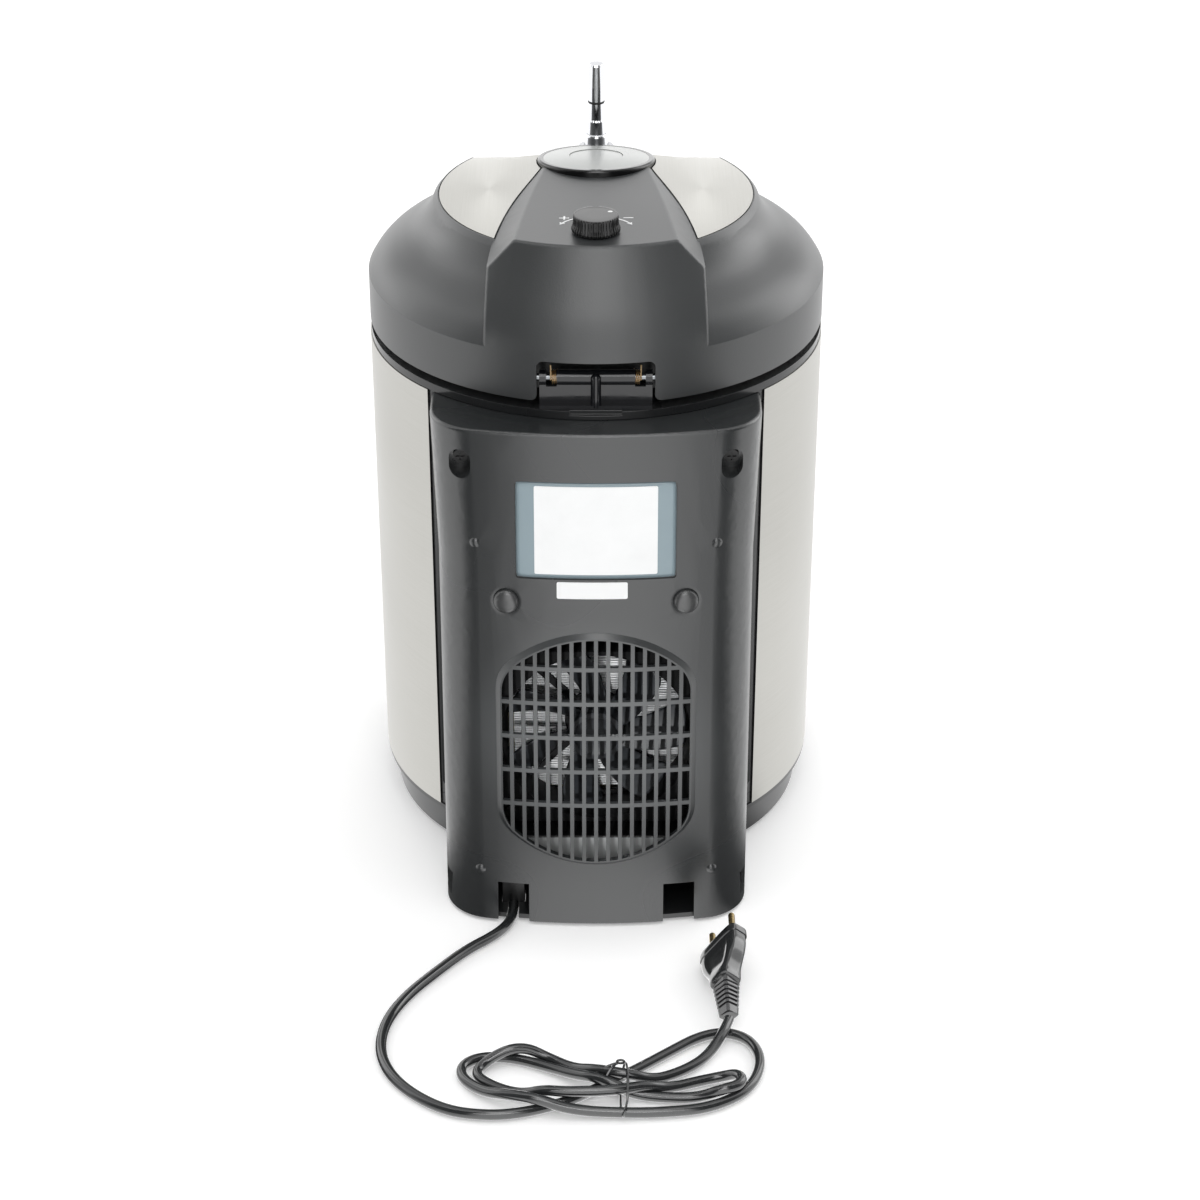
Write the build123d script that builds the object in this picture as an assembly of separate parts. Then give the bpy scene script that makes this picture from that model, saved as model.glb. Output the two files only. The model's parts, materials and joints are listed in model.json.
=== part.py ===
from build123d import *
import math
import os

# Mini keg beer dispenser, in millimetres.  +Z is up, the tap and the drip tray face -Y, the
# fan cover faces +Y, and the keg well's axis is the Z axis.  Z = 0 is the table.

# ---------------------------------------------------------------- driving dimensions
GAP = 0.3                 # between pieces that must not touch
FIT = 0.05                # radial running clearance of a pin in its hole

# Body
FOOT_H = 4.0
FOOT_R = 9.0
FOOT_X = 85.0
FOOT_Y = 75.0
PLINTH_INSET = 6.9        # the plinth stands in under the skin by this much
PLINTH_T = 3.0
PAN_T = 3.0               # pan that closes the housing behind the plinth
RIB_R = 60.0              # ring rib that carries the insulation
SKIN_R = 138.5
SKIN_T = 0.8
SKIN_Z0 = 29.5
SKIN_Z1 = 320.0
SKIN_BACK_X = 99.0        # half width of the opening in the skin behind
SPIGOT_H = 8.0
SPIGOT_T = 2.4
FOAM_IN = 17.0            # room for the control board between spigot and insulation
FOAM_Z0 = 32.0
DECK_T = 3.0
DECK_INSET = 0.5
DECK_H = 5.0              # height of the collar ring that shows
WELL_R = 88.0             # bore for a 5 litre keg, 171 mm across
WELL_T = 1.2
WELL_Z = 46.0
FLANGE_W = 6.0

# Back cover, which leans in towards the top
COVER_T = 2.6
COVER_Z0 = 2.0
COVER_Z1 = SKIN_Z1 - GAP
COVER_OUT0 = 50.7         # from the skin to the crown of the back at COVER_Z0
COVER_OUT1 = 18.5         # and at COVER_Z1
COVER_X0 = 92.5           # half widths at the bottom, part way up and at the top
COVER_XM = 93.0
COVER_X1 = 96.6
COVER_ZM = 235.0
COVER_BOW = 375.0         # radius of the bow of the back
COVER_CORNER = 30.0
COVER_SOFT = 2.4          # round of the edge between the back and the top shelf
FLANGE_OUT = 96.2         # half width over the two side flanges
FLANGE_Z0 = 48.0
FLANGE_Z1 = 306.0
CUT_X = 50.5              # cord cut-outs at the bottom
CUT_W = 19.0
CUT_H = 26.0
GRIP_Z0 = 8.0             # small gap low in each side wall
GRIP_H = 16.0
GRIP_W = 14.0
HOLE_X = 78.5             # deep screw holes
HOLE_Z = 298.0
HOLE_W = 12.5
HOLE_H = 17.5
HOLE_DEEP = 22.0          # from the crown of the back to the floor of the hole
HOLE_T = 1.8
BUMPER_X = 52.8
BUMPER_Z = 215.0
BUMPER_R = 7.4
BUMPER_H = 4.8
DISH_R = 10.2
DISH_DEEP = 1.4
PIP_R = 4.0
PIP_PROUD = 1.4
PIP_X = 70.4
PIP_Z_TOP = 250.4
PIP_Z_LOW = 35.8
LABEL_W = 93.8            # recess for the rating label
LABEL_H = 60.3
LABEL_Z = 260.4
LABEL_DEEP = 1.1
LABEL_T = 0.3
PLATE_W = 71.6            # the bare label in it
PLATE_H = 54.5
TAG_W = 41.4
TAG_H = 10.4
TAG_X = 2.2
TAG_Z = 223.7
LOUVRE_Z0 = 56.0
LOUVRE_Z1 = 232.0
LOUVRE_PITCH = 8.8
LOUVRE_H = 4.4
LOUVRE_IN = 24.0          # from the crown at the top
LOUVRE_W = 21.0

# Grille over the fan
FAN_Z = 120.0
GRILLE_R = 73.2
GRILLE_X = 56.0           # the circle is cut off at this half width
GRILLE_CORNER = 22.0
GRILLE_PROUD = 2.8
GRILLE_RIM = 3.6
SLOT_W = 4.85
SLOT_PITCH = 7.2
SLOT_COLUMNS = 16
BAR_H = 2.6
BAR_PITCH = 22.4
BAR_Z = 129.5             # the middle one of five cross bars
BAR_COUNT = 5

# Cooling unit behind the well
FAN_SIZE = 120.0
FAN_DEEP = 25.0
FAN_BORE = 57.5
FAN_HUB_R = 17.0
FAN_BLADE_R = 55.4
FAN_BLADES = 7
FAN_PITCH = 38.0          # blade angle
FAN_SHAFT_R = 1.5
SINK_X = 50.0
SINK_BASE = 5.4
FIN_PITCH = 4.0
FIN_T = 1.2
PELTIER = 40.0
PELTIER_T = 3.8
COLD_X = 25.0
COLD_T = 22.8
PSU_X = 52.0
PSU_Z0 = 34.0
PSU_Z1 = 55.0
PSU_DEEP = 34.3
CLAMP_X = 51.0            # cord clamp
CLAMP_W = 14.0
CLAMP_IN = 19.2           # from the crown of the cover's back
CLAMP_L = 12.0

# Control panel on the front
PANEL_X = 30.0
PANEL_Z0 = 205.0
PANEL_Z1 = 312.0
PANEL_T = 1.1
PANEL_LIP = 3.0
BUTTON_R = 6.0
BUTTON_PITCH = 18.0
BUTTON_Z = 232.0
BUTTON_PROUD = 1.6
BUTTON_TRAVEL = 1.0
DISPLAY_X = 17.0
DISPLAY_H = 20.0
DISPLAY_Z = 274.0
BOARD_IN = 8.0            # behind the panel's inner face

# Drip tray
TRAY_R = 78.0
TRAY_Z0 = 9.3
TRAY_Z1 = 34.0
TRAY_T = 2.2
TRAY_LEDGE = 2.5
GRID_T = 2.7
GRID_SLOT = 3.2
GRID_PITCH = 7.0

# Hinge
HINGE_IN = 10.8           # from the lid's band to the pin
HINGE_Z = 342.5
PIN_R = 2.2
PIN_X = 38.2
BARREL_R = 4.6
NOTCH_X = 34.0            # half width of the cut-out in the lid's band
NOTCH_Z1 = 355.6
NOTCH_SOFT = 4.0
EAR_T = 4.0
RIB_W = 6.0               # rounded rib in the middle of the hinge bracket
SPRING_X = 22.5           # inner end of each spring
SPRING_R = 4.4
SPRING_WIRE = 0.6
SPRING_TURNS = 3.5
SPRING_PITCH = 1.3

# Lid
LID_T = 2.6
LID_Z0 = 330.5
LID_INSET = 0.2
CREASE_Z = 359.5
SHOULDER_W = 44.0         # from the band to the edge of the steel plates
RIM_Z = 405.5
DOME_R = 500.0
PLATE_T = 0.8
PLATE_GAP = 0.6
VISOR_Y = -46.0           # the top falls away in front of this line
VISOR_Z = 409.8
VISOR_TILT = 22.0
SPINE_SETBACK = 26.1      # from the band to the rear crease
SPINE_REAR_Z = 416.6
SPINE_FRONT_Z = 415.2
RIDGE_SOFT = 4.5          # rounds of the spine's long ridges and of its rear edges
REAR_SOFT = 3.0
PLUG_R = 83.0
PLUG_Z = 314.0
LINER_T = 2.4

# Disc on the crest
DISC_Y = -34.0
DISC_Z = 414.3
DISC_TILT = 8.0
DISC_R = 36.0
DISC_H = 4.6
LENS_R = 32.4

# Regulator
KNOB_IN = 23.2            # from the rear crease
KNOB_R = 14.2
KNOB_TOP_R = 13.0
KNOB_H = 10.0
KNOB_RIBS = 44
STEM_R = 3.0
REG_R = 15.0

# Tap
TAP_IN = 34.3             # from the lid's band
COLLAR_TOP = 395.2
COLLAR_R = 12.7
BALL_R = 7.4
PIVOT_R = 1.5
PIVOT_REACH = 9.8         # half length of the lever's pivot pin
PIVOT_Z = 392.0
LEVER_SWING = 30.0
LEVER_TOP = 424.2
HANDLE_TOP = 449.6
HANDLE_R = 5.0
SPOUT_R = 7.5
SPOUT_BORE = 5.5
SPOUT_Z = 346.0
SPOUT_OUT = 27.7          # from the lid's band
SPOUT_LOW = 317.0

# Mains lead
CORD_R = 3.1
CORD_POINTS = [
    (51, 170.05, 3.3), (51, 181, 3.3), (54, 191.5, 3.2), (62, 203, 3.1), (79, 218, 3.1),
    (96, 240, 3.1), (113, 264, 3.1), (123, 288, 3.1), (125, 312, 3.1), (119, 333, 3.1),
    (107, 350, 3.1), (90, 364, 3.1), (73.5, 370.8, 3.1),
]
HANK_H = 12.4
HANK_POINTS = [
    (79, 340), (74, 322), (58, 313), (40, 315), (18, 327), (-2, 337), (-20, 330), (-42, 312),
    (-60, 296), (-77, 284.5), (-91, 294), (-98.5, 320), (-94, 344), (-82, 360), (-62, 369.5),
    (-38, 372.5), (-10, 373), (20, 373.5), (48, 375.5), (68, 376), (78, 364),
]
TIE_X = -16.0
TIE_R = 0.75
PLUG_ORIGIN = (-76.0, 262.0, 16.4)
PLUG_ROLL = 53.0
PLUG_W = 34.0
PLUG_D = 13.6
PLUG_L = 33.0
PLUG_PIN_R = 2.0
PLUG_PIN_L = 19.0
PLUG_PIN_PITCH = 18.6
RELIEF_L = 28.0
RELIEF_DROOP = 17.0
RELIEF_TURN = 3.0

# ---------------------------------------------------------------- sizes worked out from those
SKIN_IN = SKIN_R - SKIN_T
SPIGOT_R = SKIN_IN - GAP
PLINTH_R = SKIN_R - PLINTH_INSET
DECK_R = SKIN_R - DECK_INSET
DECK_Z = SKIN_Z1 + DECK_H
WELL_OUT = WELL_R + WELL_T
FOAM_R = SPIGOT_R - SPIGOT_T - FOAM_IN
COLD_Y = WELL_OUT + COLD_T
COVER_Y0 = SKIN_R + COVER_OUT0
COVER_Y1 = SKIN_R + COVER_OUT1
COVER_LEAN = (COVER_Y0 - COVER_Y1) / (COVER_Z1 - COVER_Z0)
BACK0 = COVER_Y1 - 17     # the cuts through the cover's back run between these
BACK1 = COVER_Y0 + 11
LOUVRE_Y1 = COVER_Y1 - LOUVRE_IN
LOUVRE_Y0 = LOUVRE_Y1 - LOUVRE_W
FAN_Y = SPIGOT_R + GAP + 2 * FIT
PSU_Y1 = SPIGOT_R + GAP + PSU_DEEP
CLAMP_Y1 = COVER_Y0 - CLAMP_IN
CLAMP_Y0 = CLAMP_Y1 - CLAMP_L
BOARD_Y = BOARD_IN - (SPIGOT_R - SPIGOT_T)
FRONT0 = -SKIN_R - 12     # the cuts through the front panel run between these
FRONT1 = -SKIN_R + 38
TRAY_FRONT = COVER_Y0     # as far in front of the axis as the cover reaches behind it
TRAY_Y = TRAY_R - TRAY_FRONT
LID_R = SKIN_R - LID_INSET
RIM_R = LID_R - SHOULDER_W
SPINE_REAR_R = LID_R - SPINE_SETBACK
HINGE_Y = LID_R - HINGE_IN
KNOB_Y = SPINE_REAR_R - KNOB_IN
TAP_Y = TAP_IN - LID_R
SPOUT_REACH = -LID_R - SPOUT_OUT
FAN_Y1 = FAN_Y + FAN_DEEP
SINK_Y = COLD_Y + PELTIER_T + 2 * FIT
DOME_TOP = RIM_Z + DOME_R - math.sqrt(DOME_R ** 2 - RIM_R ** 2)
HIGH = 600.0


# ---------------------------------------------------------------- helpers
def drum(radius, z0, z1):
    """Cylinder about the Z axis from z0 to z1."""
    return Pos(0, 0, z0) * Cylinder(radius, z1 - z0, align=(Align.CENTER, Align.CENTER, Align.MIN))


def ring(outer, inner, z0, z1):
    return drum(outer, z0, z1) - drum(inner, z0 - 1, z1 + 1)


def block(x0, x1, y0, y1, z0, z1):
    centre = Pos((x0 + x1) / 2, (y0 + y1) / 2, (z0 + z1) / 2)
    return centre * Box(abs(x1 - x0), abs(y1 - y0), abs(z1 - z0))


def rod_x(radius, x0, x1, y, z):
    """Cylinder along X."""
    return Pos((x0 + x1) / 2, y, z) * Rot(0, 90, 0) * Cylinder(radius, abs(x1 - x0))


def rod_y(radius, x, y0, y1, z):
    """Cylinder along Y."""
    return Pos(x, (y0 + y1) / 2, z) * Rot(90, 0, 0) * Cylinder(radius, abs(y1 - y0))


def both(shape):
    """A piece and its mirror image across the middle plane."""
    return shape + mirror(shape, about=Plane.YZ)


def spin(points):
    """Body of revolution about Z of a closed outline of (radius, z) points."""
    return revolve(Plane.XZ * make_face(Polyline(*points, close=True)), axis=Axis.Z)


def through_y(sketch, y0, y1):
    """A sketch drawn in X and Z, extruded along Y."""
    return extrude(Plane.XZ.offset(-y0) * sketch, -(y1 - y0))


# ---------------------------------------------------------------- body
def base_plinth():
    shelf_t = DECK_T
    wall = ring(PLINTH_R, PLINTH_R - PLINTH_T, FOOT_H, SKIN_Z0 - shelf_t)
    floor = drum(PLINTH_R, FOOT_H, FOOT_H + PLINTH_T)
    shelf = ring(SKIN_R - GAP, PLINTH_R - PLINTH_T, SKIN_Z0 - shelf_t, SKIN_Z0 - FIT)
    spigot = ring(SPIGOT_R, SPIGOT_R - SPIGOT_T, SKIN_Z0 - shelf_t, SKIN_Z0 + SPIGOT_H)
    rib = ring(RIB_R, RIB_R - PLINTH_T, FOOT_H, FOAM_Z0 - GAP)
    vent = block(-SINK_X, SINK_X, PLINTH_R - 8, PLINTH_R + 8, FOOT_H + PLINTH_T, SKIN_Z0 - shelf_t - 4)
    return wall + floor + shelf + spigot + rib + rear_pan() - vent


def rear_pan():
    """Pan that closes the cover's bottom, with a slot that widens as the mains lead turns."""
    pan = cover_form(COVER_T + GAP) & block(-HIGH, HIGH, PLINTH_R / 2, HIGH, COVER_Z0, COVER_Z0 + PAN_T)
    pan -= drum(PLINTH_R - PLINTH_T, 0, HIGH)
    room = CLAMP_W / 2 + GAP
    pan -= block(CLAMP_X - room, CLAMP_X + room, CLAMP_Y0 - GAP, CLAMP_Y1 + GAP, 0, HIGH)
    side = CORD_R + GAP
    slot = make_face(Polyline(
        (CLAMP_X - side, CLAMP_Y1), (CLAMP_X + side, CLAMP_Y1), (CLAMP_X + side, CLAMP_Y1 + 8),
        (CLAMP_X + side + 4, BACK1), (CLAMP_X - side, BACK1), close=True))
    return pan - extrude(slot, HIGH)


def tray_tongue():
    """Tongue in front of the plinth that the drip tray slides on."""
    tongue = Pos(0, TRAY_Y, FOOT_H) * extrude(Circle(TRAY_R - TRAY_T), TRAY_Z0 - GAP - FOOT_H)
    return tongue - drum(PLINTH_R, 0, HIGH)


def rubber_feet():
    foot = Pos(FOOT_X, FOOT_Y, 0) * extrude(Circle(FOOT_R), FOOT_H)
    foot = chamfer(foot.faces().sort_by(Axis.Z)[0].edges(), 0.8)
    one_side = foot + mirror(foot, about=Plane.XZ)
    return both(one_side)


def steel_skin():
    skin = ring(SKIN_R, SKIN_IN, SKIN_Z0, SKIN_Z1)
    skin -= block(-SKIN_BACK_X, SKIN_BACK_X, 0, SKIN_R + 5, 0, HIGH)
    lip = PANEL_LIP
    window = block(-PANEL_X + lip, PANEL_X - lip, -SKIN_R - 5, 0, PANEL_Z0 + lip, PANEL_Z1 - lip)
    return skin - window


def rear_frame():
    z0 = SKIN_Z0 + SPIGOT_H + GAP
    z1 = SKIN_Z1 - SPIGOT_H - GAP
    frame = ring(SPIGOT_R, SPIGOT_R - SPIGOT_T, z0, z1) & block(-SKIN_BACK_X - 13, SKIN_BACK_X + 13, 0, HIGH, 0, HIGH)
    gap = SINK_X + 4
    frame -= block(-gap, gap, 0, HIGH, FAN_Z - gap, FAN_Z + gap)
    post_y1 = hole_floor() - HOLE_T - FIT
    post = rod_y(5.2, HOLE_X, SPIGOT_R * 0.72, post_y1, HOLE_Z) - drum(SPIGOT_R - SPIGOT_T, 0, HIGH)
    return frame + both(post) - both(rod_y(1.4, HOLE_X, post_y1 - 10, post_y1 + 1, HOLE_Z))


def insulation():
    foam = drum(FOAM_R, FOAM_Z0, DECK_Z - DECK_T - GAP) - drum(WELL_OUT + GAP, WELL_Z - GAP, HIGH)
    half = PELTIER / 2 + 5 + GAP
    foam -= block(-COLD_X - GAP, COLD_X + GAP, 0, HIGH, FAN_Z - half, FAN_Z + half)
    wide = SINK_X + GAP
    return foam - block(-wide, wide, SINK_Y - GAP, HIGH, FAN_Z - wide, FAN_Z + wide)


def well_liner():
    cup = drum(WELL_OUT, WELL_Z, DECK_Z + FIT) - drum(WELL_R, WELL_Z + WELL_T, HIGH)
    return cup + ring(WELL_OUT + FLANGE_W, WELL_R, DECK_Z + FIT, DECK_Z + FIT + WELL_T)


def top_deck():
    plate = ring(DECK_R, WELL_OUT + GAP, DECK_Z - DECK_T, DECK_Z)
    skirt = ring(DECK_R, SPIGOT_R - SPIGOT_T, SKIN_Z1 + FIT, DECK_Z)
    spigot = ring(SPIGOT_R, SPIGOT_R - SPIGOT_T, SKIN_Z1 - SPIGOT_H, DECK_Z)
    slot = block(-15, 15, DECK_R - 2.7, DECK_R + 2, DECK_Z - 2.4, DECK_Z + 1)
    return plate + skirt + spigot - slot


# ---------------------------------------------------------------- back cover
def cover_y(z):
    """Y of the crown of the cover's back at height z."""
    return COVER_Y0 - COVER_LEAN * (z - COVER_Z0)


def hole_floor():
    """Y of the floor that each cover screw clamps."""
    return cover_y(HOLE_Z) - HOLE_DEEP


def on_cover(x, z):
    """Frame on the cover's back with its local Z pointing straight out of the face."""
    slope = x / COVER_BOW
    y = cover_y(z) - x * slope / 2
    return Plane(origin=(x, y, z), x_dir=(1, -slope, 0), z_dir=(slope, 1, COVER_LEAN)).location


def cover_section(z, half_width, inset):
    back = cover_y(z) - inset
    bow = COVER_BOW - inset
    wide = half_width - inset
    outline = Pos(0, back - 75) * Rectangle(2 * wide, 150) & Pos(0, back - bow) * Circle(bow)
    outline = fillet(outline.vertices().sort_by(Axis.Y)[-2:], COVER_CORNER - inset)
    return Pos(0, 0, z) * outline


def cover_form(inset, z0=COVER_Z0, z1=COVER_Z1):
    """The cover's outer form as a solid, drawn in by inset."""
    rise = (COVER_X1 - COVER_XM) / (COVER_Z1 - COVER_ZM)
    top = COVER_XM + rise * (z1 - COVER_ZM)
    low = loft([cover_section(z0, COVER_X0, inset), cover_section(COVER_ZM, COVER_XM, inset)], ruled=True)
    high = loft([cover_section(COVER_ZM, COVER_XM, inset), cover_section(z1, top, inset)], ruled=True)
    return low + high


def grille_outline(grow):
    outline = Circle(GRILLE_R) & Rectangle(2 * GRILLE_X, 3 * GRILLE_R)
    outline = fillet(outline.vertices(), GRILLE_CORNER)
    return Pos(0, FAN_Z) * (offset(outline, grow) if grow else outline)


def grille_slots():
    low = FAN_Z - GRILLE_R - 1
    high = FAN_Z + GRILLE_R + 1
    first = -(SLOT_COLUMNS - 1) / 2
    slots = Sketch()
    for column in range(SLOT_COLUMNS):
        centre = Pos((first + column) * SLOT_PITCH, (low + high) / 2)
        slots += centre * Rectangle(SLOT_W, high - low)
    for bar in range(BAR_COUNT):
        z = BAR_Z + (bar - (BAR_COUNT - 1) / 2) * BAR_PITCH
        slots -= Pos(0, z) * Rectangle(3 * GRILLE_X, BAR_H)
    return slots & grille_outline(0)


def louvres():
    """Cutter for the louvres in both side walls."""
    slots = Sketch()
    count = int((LOUVRE_Z1 - LOUVRE_Z0) / LOUVRE_PITCH)
    for row in range(count):
        z = LOUVRE_Z0 + (row + 0.5) * LOUVRE_PITCH
        slots += Pos((LOUVRE_Y0 + LOUVRE_Y1) / 2, z) * Rectangle(LOUVRE_Y1 - LOUVRE_Y0, LOUVRE_H)
    return extrude(Plane.YZ.offset(-HIGH / 4) * slots, HIGH / 2)


def side_flange():
    side = make_face(Polyline(
        (COVER_XM - 1, FLANGE_Z0), (FLANGE_OUT, FLANGE_Z0 + 8),
        (FLANGE_OUT, FLANGE_Z1 - 8), (COVER_XM - 1, FLANGE_Z1), close=True))
    return through_y(side, LOUVRE_Y0 - 22, LOUVRE_Y0)


def soft_cover():
    """The cover's form with the edge round its top shelf broken."""
    form = cover_form(0)
    rim = form.faces().sort_by(Axis.Z)[-1].edges()
    return fillet([edge for edge in rim if edge.center().Y > COVER_Y1 - COVER_CORNER], COVER_SOFT)


def back_cover():
    shell = soft_cover()
    pad = cover_form(-GRILLE_PROUD) & through_y(grille_outline(GRILLE_RIM), BACK0, BACK1)
    face = pad.faces().sort_by(Axis.Y)[-1]
    pad = chamfer(face.edges(), GRILLE_PROUD - 0.2)
    shell += pad
    hollow = cover_form(COVER_T, COVER_Z0 - 2, COVER_Z1 - COVER_T)
    hollow += cover_form(COVER_T - GRILLE_PROUD) & through_y(
        grille_outline(GRILLE_RIM - 2.4), BACK0 - 40, BACK1)
    shell += both(side_flange())
    for x in (-PIP_X, PIP_X):
        for z in (PIP_Z_TOP, PIP_Z_LOW):
            shell += on_cover(x, z) * Pos(0, 0, PIP_PROUD - PIP_R) * Sphere(PIP_R)
    shell -= hollow
    shell -= through_y(grille_slots(), BACK0, BACK1)
    shell -= louvres()
    recess = cover_form(0) - cover_form(LABEL_DEEP)
    shell -= recess & through_y(Pos(0, LABEL_Z) * RectangleRounded(LABEL_W, LABEL_H, 2), BACK0, BACK1)
    dish = (DISH_R ** 2 + DISH_DEEP ** 2) / 2 / DISH_DEEP
    for side in (-1, 1):
        hole = Pos(side * HOLE_X, HOLE_Z) * Rot(0, 0, 90) * SlotOverall(HOLE_H, HOLE_W)
        floor_y = hole_floor()
        shell += through_y(offset(hole, HOLE_T), floor_y - HOLE_T, BACK1) & cover_form(0)
        shell -= through_y(hole, floor_y, BACK1)
        shell -= rod_y(1.7, side * HOLE_X, floor_y - 5, floor_y + 1, HOLE_Z)
        x = side * CUT_X
        shell -= block(x - CUT_W / 2, x + CUT_W / 2, BACK0, BACK1, 0, COVER_Z0 + CUT_H)
        grip_y = COVER_Y0 - COVER_CORNER
        shell -= both(block(COVER_X0 - 8, HIGH, grip_y - GRIP_W / 2, grip_y + GRIP_W / 2, GRIP_Z0, GRIP_Z0 + GRIP_H))
        shell -= on_cover(side * BUMPER_X, BUMPER_Z) * Pos(0, 0, dish - DISH_DEEP) * Sphere(dish)
    return shell - drum(SPIGOT_R + GAP, 0, HIGH) - drum(SKIN_R, 0, SKIN_Z0 + GAP)


def wall_bumpers():
    """Two rubber domes that keep the cover off a wall; each sits in its dish."""
    profile = make_face([
        Line((0, 0), (BUMPER_R, 0)), Line((BUMPER_R, 0), (BUMPER_R, 1.2)),
        Bezier((BUMPER_R, 1.2), (BUMPER_R, BUMPER_H), (BUMPER_R / 2, BUMPER_H), (0, BUMPER_H)),
        Line((0, BUMPER_H), (0, 0))])
    dome = Pos(0, 0, FIT - DISH_DEEP) * revolve(Plane.XZ * profile, axis=Axis.Z)
    dish = (DISH_R ** 2 + DISH_DEEP ** 2) / 2 / DISH_DEEP
    dome &= Pos(0, 0, dish - DISH_DEEP + FIT) * Sphere(dish)
    return both(on_cover(BUMPER_X, BUMPER_Z) * dome)


def cover_screws():
    y = hole_floor()
    screw = rod_y(4.2, HOLE_X, y + FIT, y + 2.6, HOLE_Z) + rod_y(1.35, HOLE_X, y - 9, y + 1, HOLE_Z)
    screw -= block(HOLE_X - 2.6, HOLE_X + 2.6, y + 1.6, y + 3, HOLE_Z - 0.5, HOLE_Z + 0.5)
    screw -= block(HOLE_X - 0.5, HOLE_X + 0.5, y + 1.6, y + 3, HOLE_Z - 2.6, HOLE_Z + 2.6)
    return both(screw)


def bare_label(width, height, x, z, depth):
    """Thin label that lies on the cover's face, depth below its outer form."""
    film = cover_form(depth - LABEL_T - FIT) - cover_form(depth - FIT)
    return film & through_y(Pos(x, z) * RectangleRounded(width, height, 1.0), BACK0, BACK1)


# ---------------------------------------------------------------- cooling unit
def fan_frame():
    body = block(-FAN_SIZE / 2, FAN_SIZE / 2, FAN_Y, FAN_Y1, FAN_Z - FAN_SIZE / 2, FAN_Z + FAN_SIZE / 2)
    body = fillet(body.edges().filter_by(Axis.Y), 5)
    body -= rod_y(FAN_BORE, 0, FAN_Y - 1, FAN_Y1 + 1, FAN_Z)
    body += rod_y(FAN_HUB_R + 2, 0, FAN_Y, FAN_Y + 4, FAN_Z)
    strut = block(-2, 2, FAN_Y, FAN_Y + 3, FAN_Z + FAN_HUB_R, FAN_Z + FAN_BORE + 1)
    for turn in range(4):
        body += Pos(0, 0, FAN_Z) * Rot(0, 45 + 90 * turn, 0) * Pos(0, 0, -FAN_Z) * strut
    body -= rod_y(FAN_SHAFT_R + FIT, 0, FAN_Y - 1, FAN_Y + 5, FAN_Z)
    for x in (-52.5, 52.5):
        for z in (-52.5, 52.5):
            body -= rod_y(2.2, x, FAN_Y - 1, FAN_Y1 + 1, FAN_Z + z)
    return body


def fan_rotor():
    y0 = FAN_Y + 4.6
    y1 = FAN_Y1 - 1
    hub = fillet(rod_y(FAN_HUB_R, 0, y0, y1, FAN_Z).edges().sort_by(Axis.Y)[-1], 2)
    rotor = hub + rod_y(FAN_SHAFT_R, 0, FAN_Y + 0.4, y0 + 1, FAN_Z)
    middle = (y0 + y1) / 2
    blade = Pos(0, middle, FAN_Z + (FAN_HUB_R + FAN_BLADE_R) / 2) * Rot(0, 0, FAN_PITCH)
    blade = blade * Box(26, 1.8, FAN_BLADE_R - FAN_HUB_R + 8)
    limit = rod_y(FAN_BLADE_R, 0, y0 + 0.6, y1 - 0.6, FAN_Z)
    for turn in range(FAN_BLADES):
        turned = Pos(0, 0, FAN_Z) * Rot(0, 360 / FAN_BLADES * turn, 0) * Pos(0, 0, -FAN_Z) * blade
        rotor += turned & limit
    return rotor


def fan_screws():
    screws = Part()
    for x in (-52.5, 52.5):
        for z in (-52.5, 52.5):
            screw = rod_y(1.9, x, FAN_Y + 0.5, FAN_Y1 + 0.5, FAN_Z + z)
            screws += screw + rod_y(3.6, x, FAN_Y1 + FIT, FAN_Y1 + 0.9, FAN_Z + z)
    return screws


def heat_sink():
    z0 = FAN_Z - SINK_X
    z1 = FAN_Z + SINK_X
    sink = block(-SINK_X, SINK_X, SINK_Y, SINK_Y + SINK_BASE, z0, z1)
    count = int((z1 - z0) / FIN_PITCH)
    for fin in range(count + 1):
        z = z0 + fin * (z1 - z0 - FIN_T) / count
        sink += block(-SINK_X, SINK_X, SINK_Y + SINK_BASE / 2, FAN_Y - GAP, z, z + FIN_T)
    return sink


def peltier():
    half = PELTIER / 2
    return block(-half, half, COLD_Y + FIT, COLD_Y + FIT + PELTIER_T, FAN_Z - half, FAN_Z + half)


def cold_block():
    half = PELTIER / 2 + 5
    slab = block(-COLD_X, COLD_X, WELL_OUT - 20, COLD_Y, FAN_Z - half, FAN_Z + half)
    return slab - drum(WELL_OUT + FIT, 0, HIGH)


def power_supply():
    case = block(-PSU_X, PSU_X, SPIGOT_R + GAP, PSU_Y1, PSU_Z0, PSU_Z1)
    case = fillet(case.edges().filter_by(Axis.Z), 2)
    for slot in range(9):
        x = (slot - 4) * 10
        case -= block(x - 1.5, x + 1.5, PSU_Y1 - 22, PSU_Y1 - 6, PSU_Z1 - 1, PSU_Z1 + 1)
    return case


def cord_clamp():
    x0 = CLAMP_X - CLAMP_W / 2
    clamp = block(x0, x0 + CLAMP_W, CLAMP_Y0, CLAMP_Y1, 0.5, PSU_Z0 - GAP)
    return fillet(clamp.edges().filter_by(Axis.Y), 0.45)


# ---------------------------------------------------------------- control panel
def panel_outline(half, z0, z1, radius):
    return Pos(0, (z0 + z1) / 2) * RectangleRounded(2 * half, z1 - z0, radius)


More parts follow.
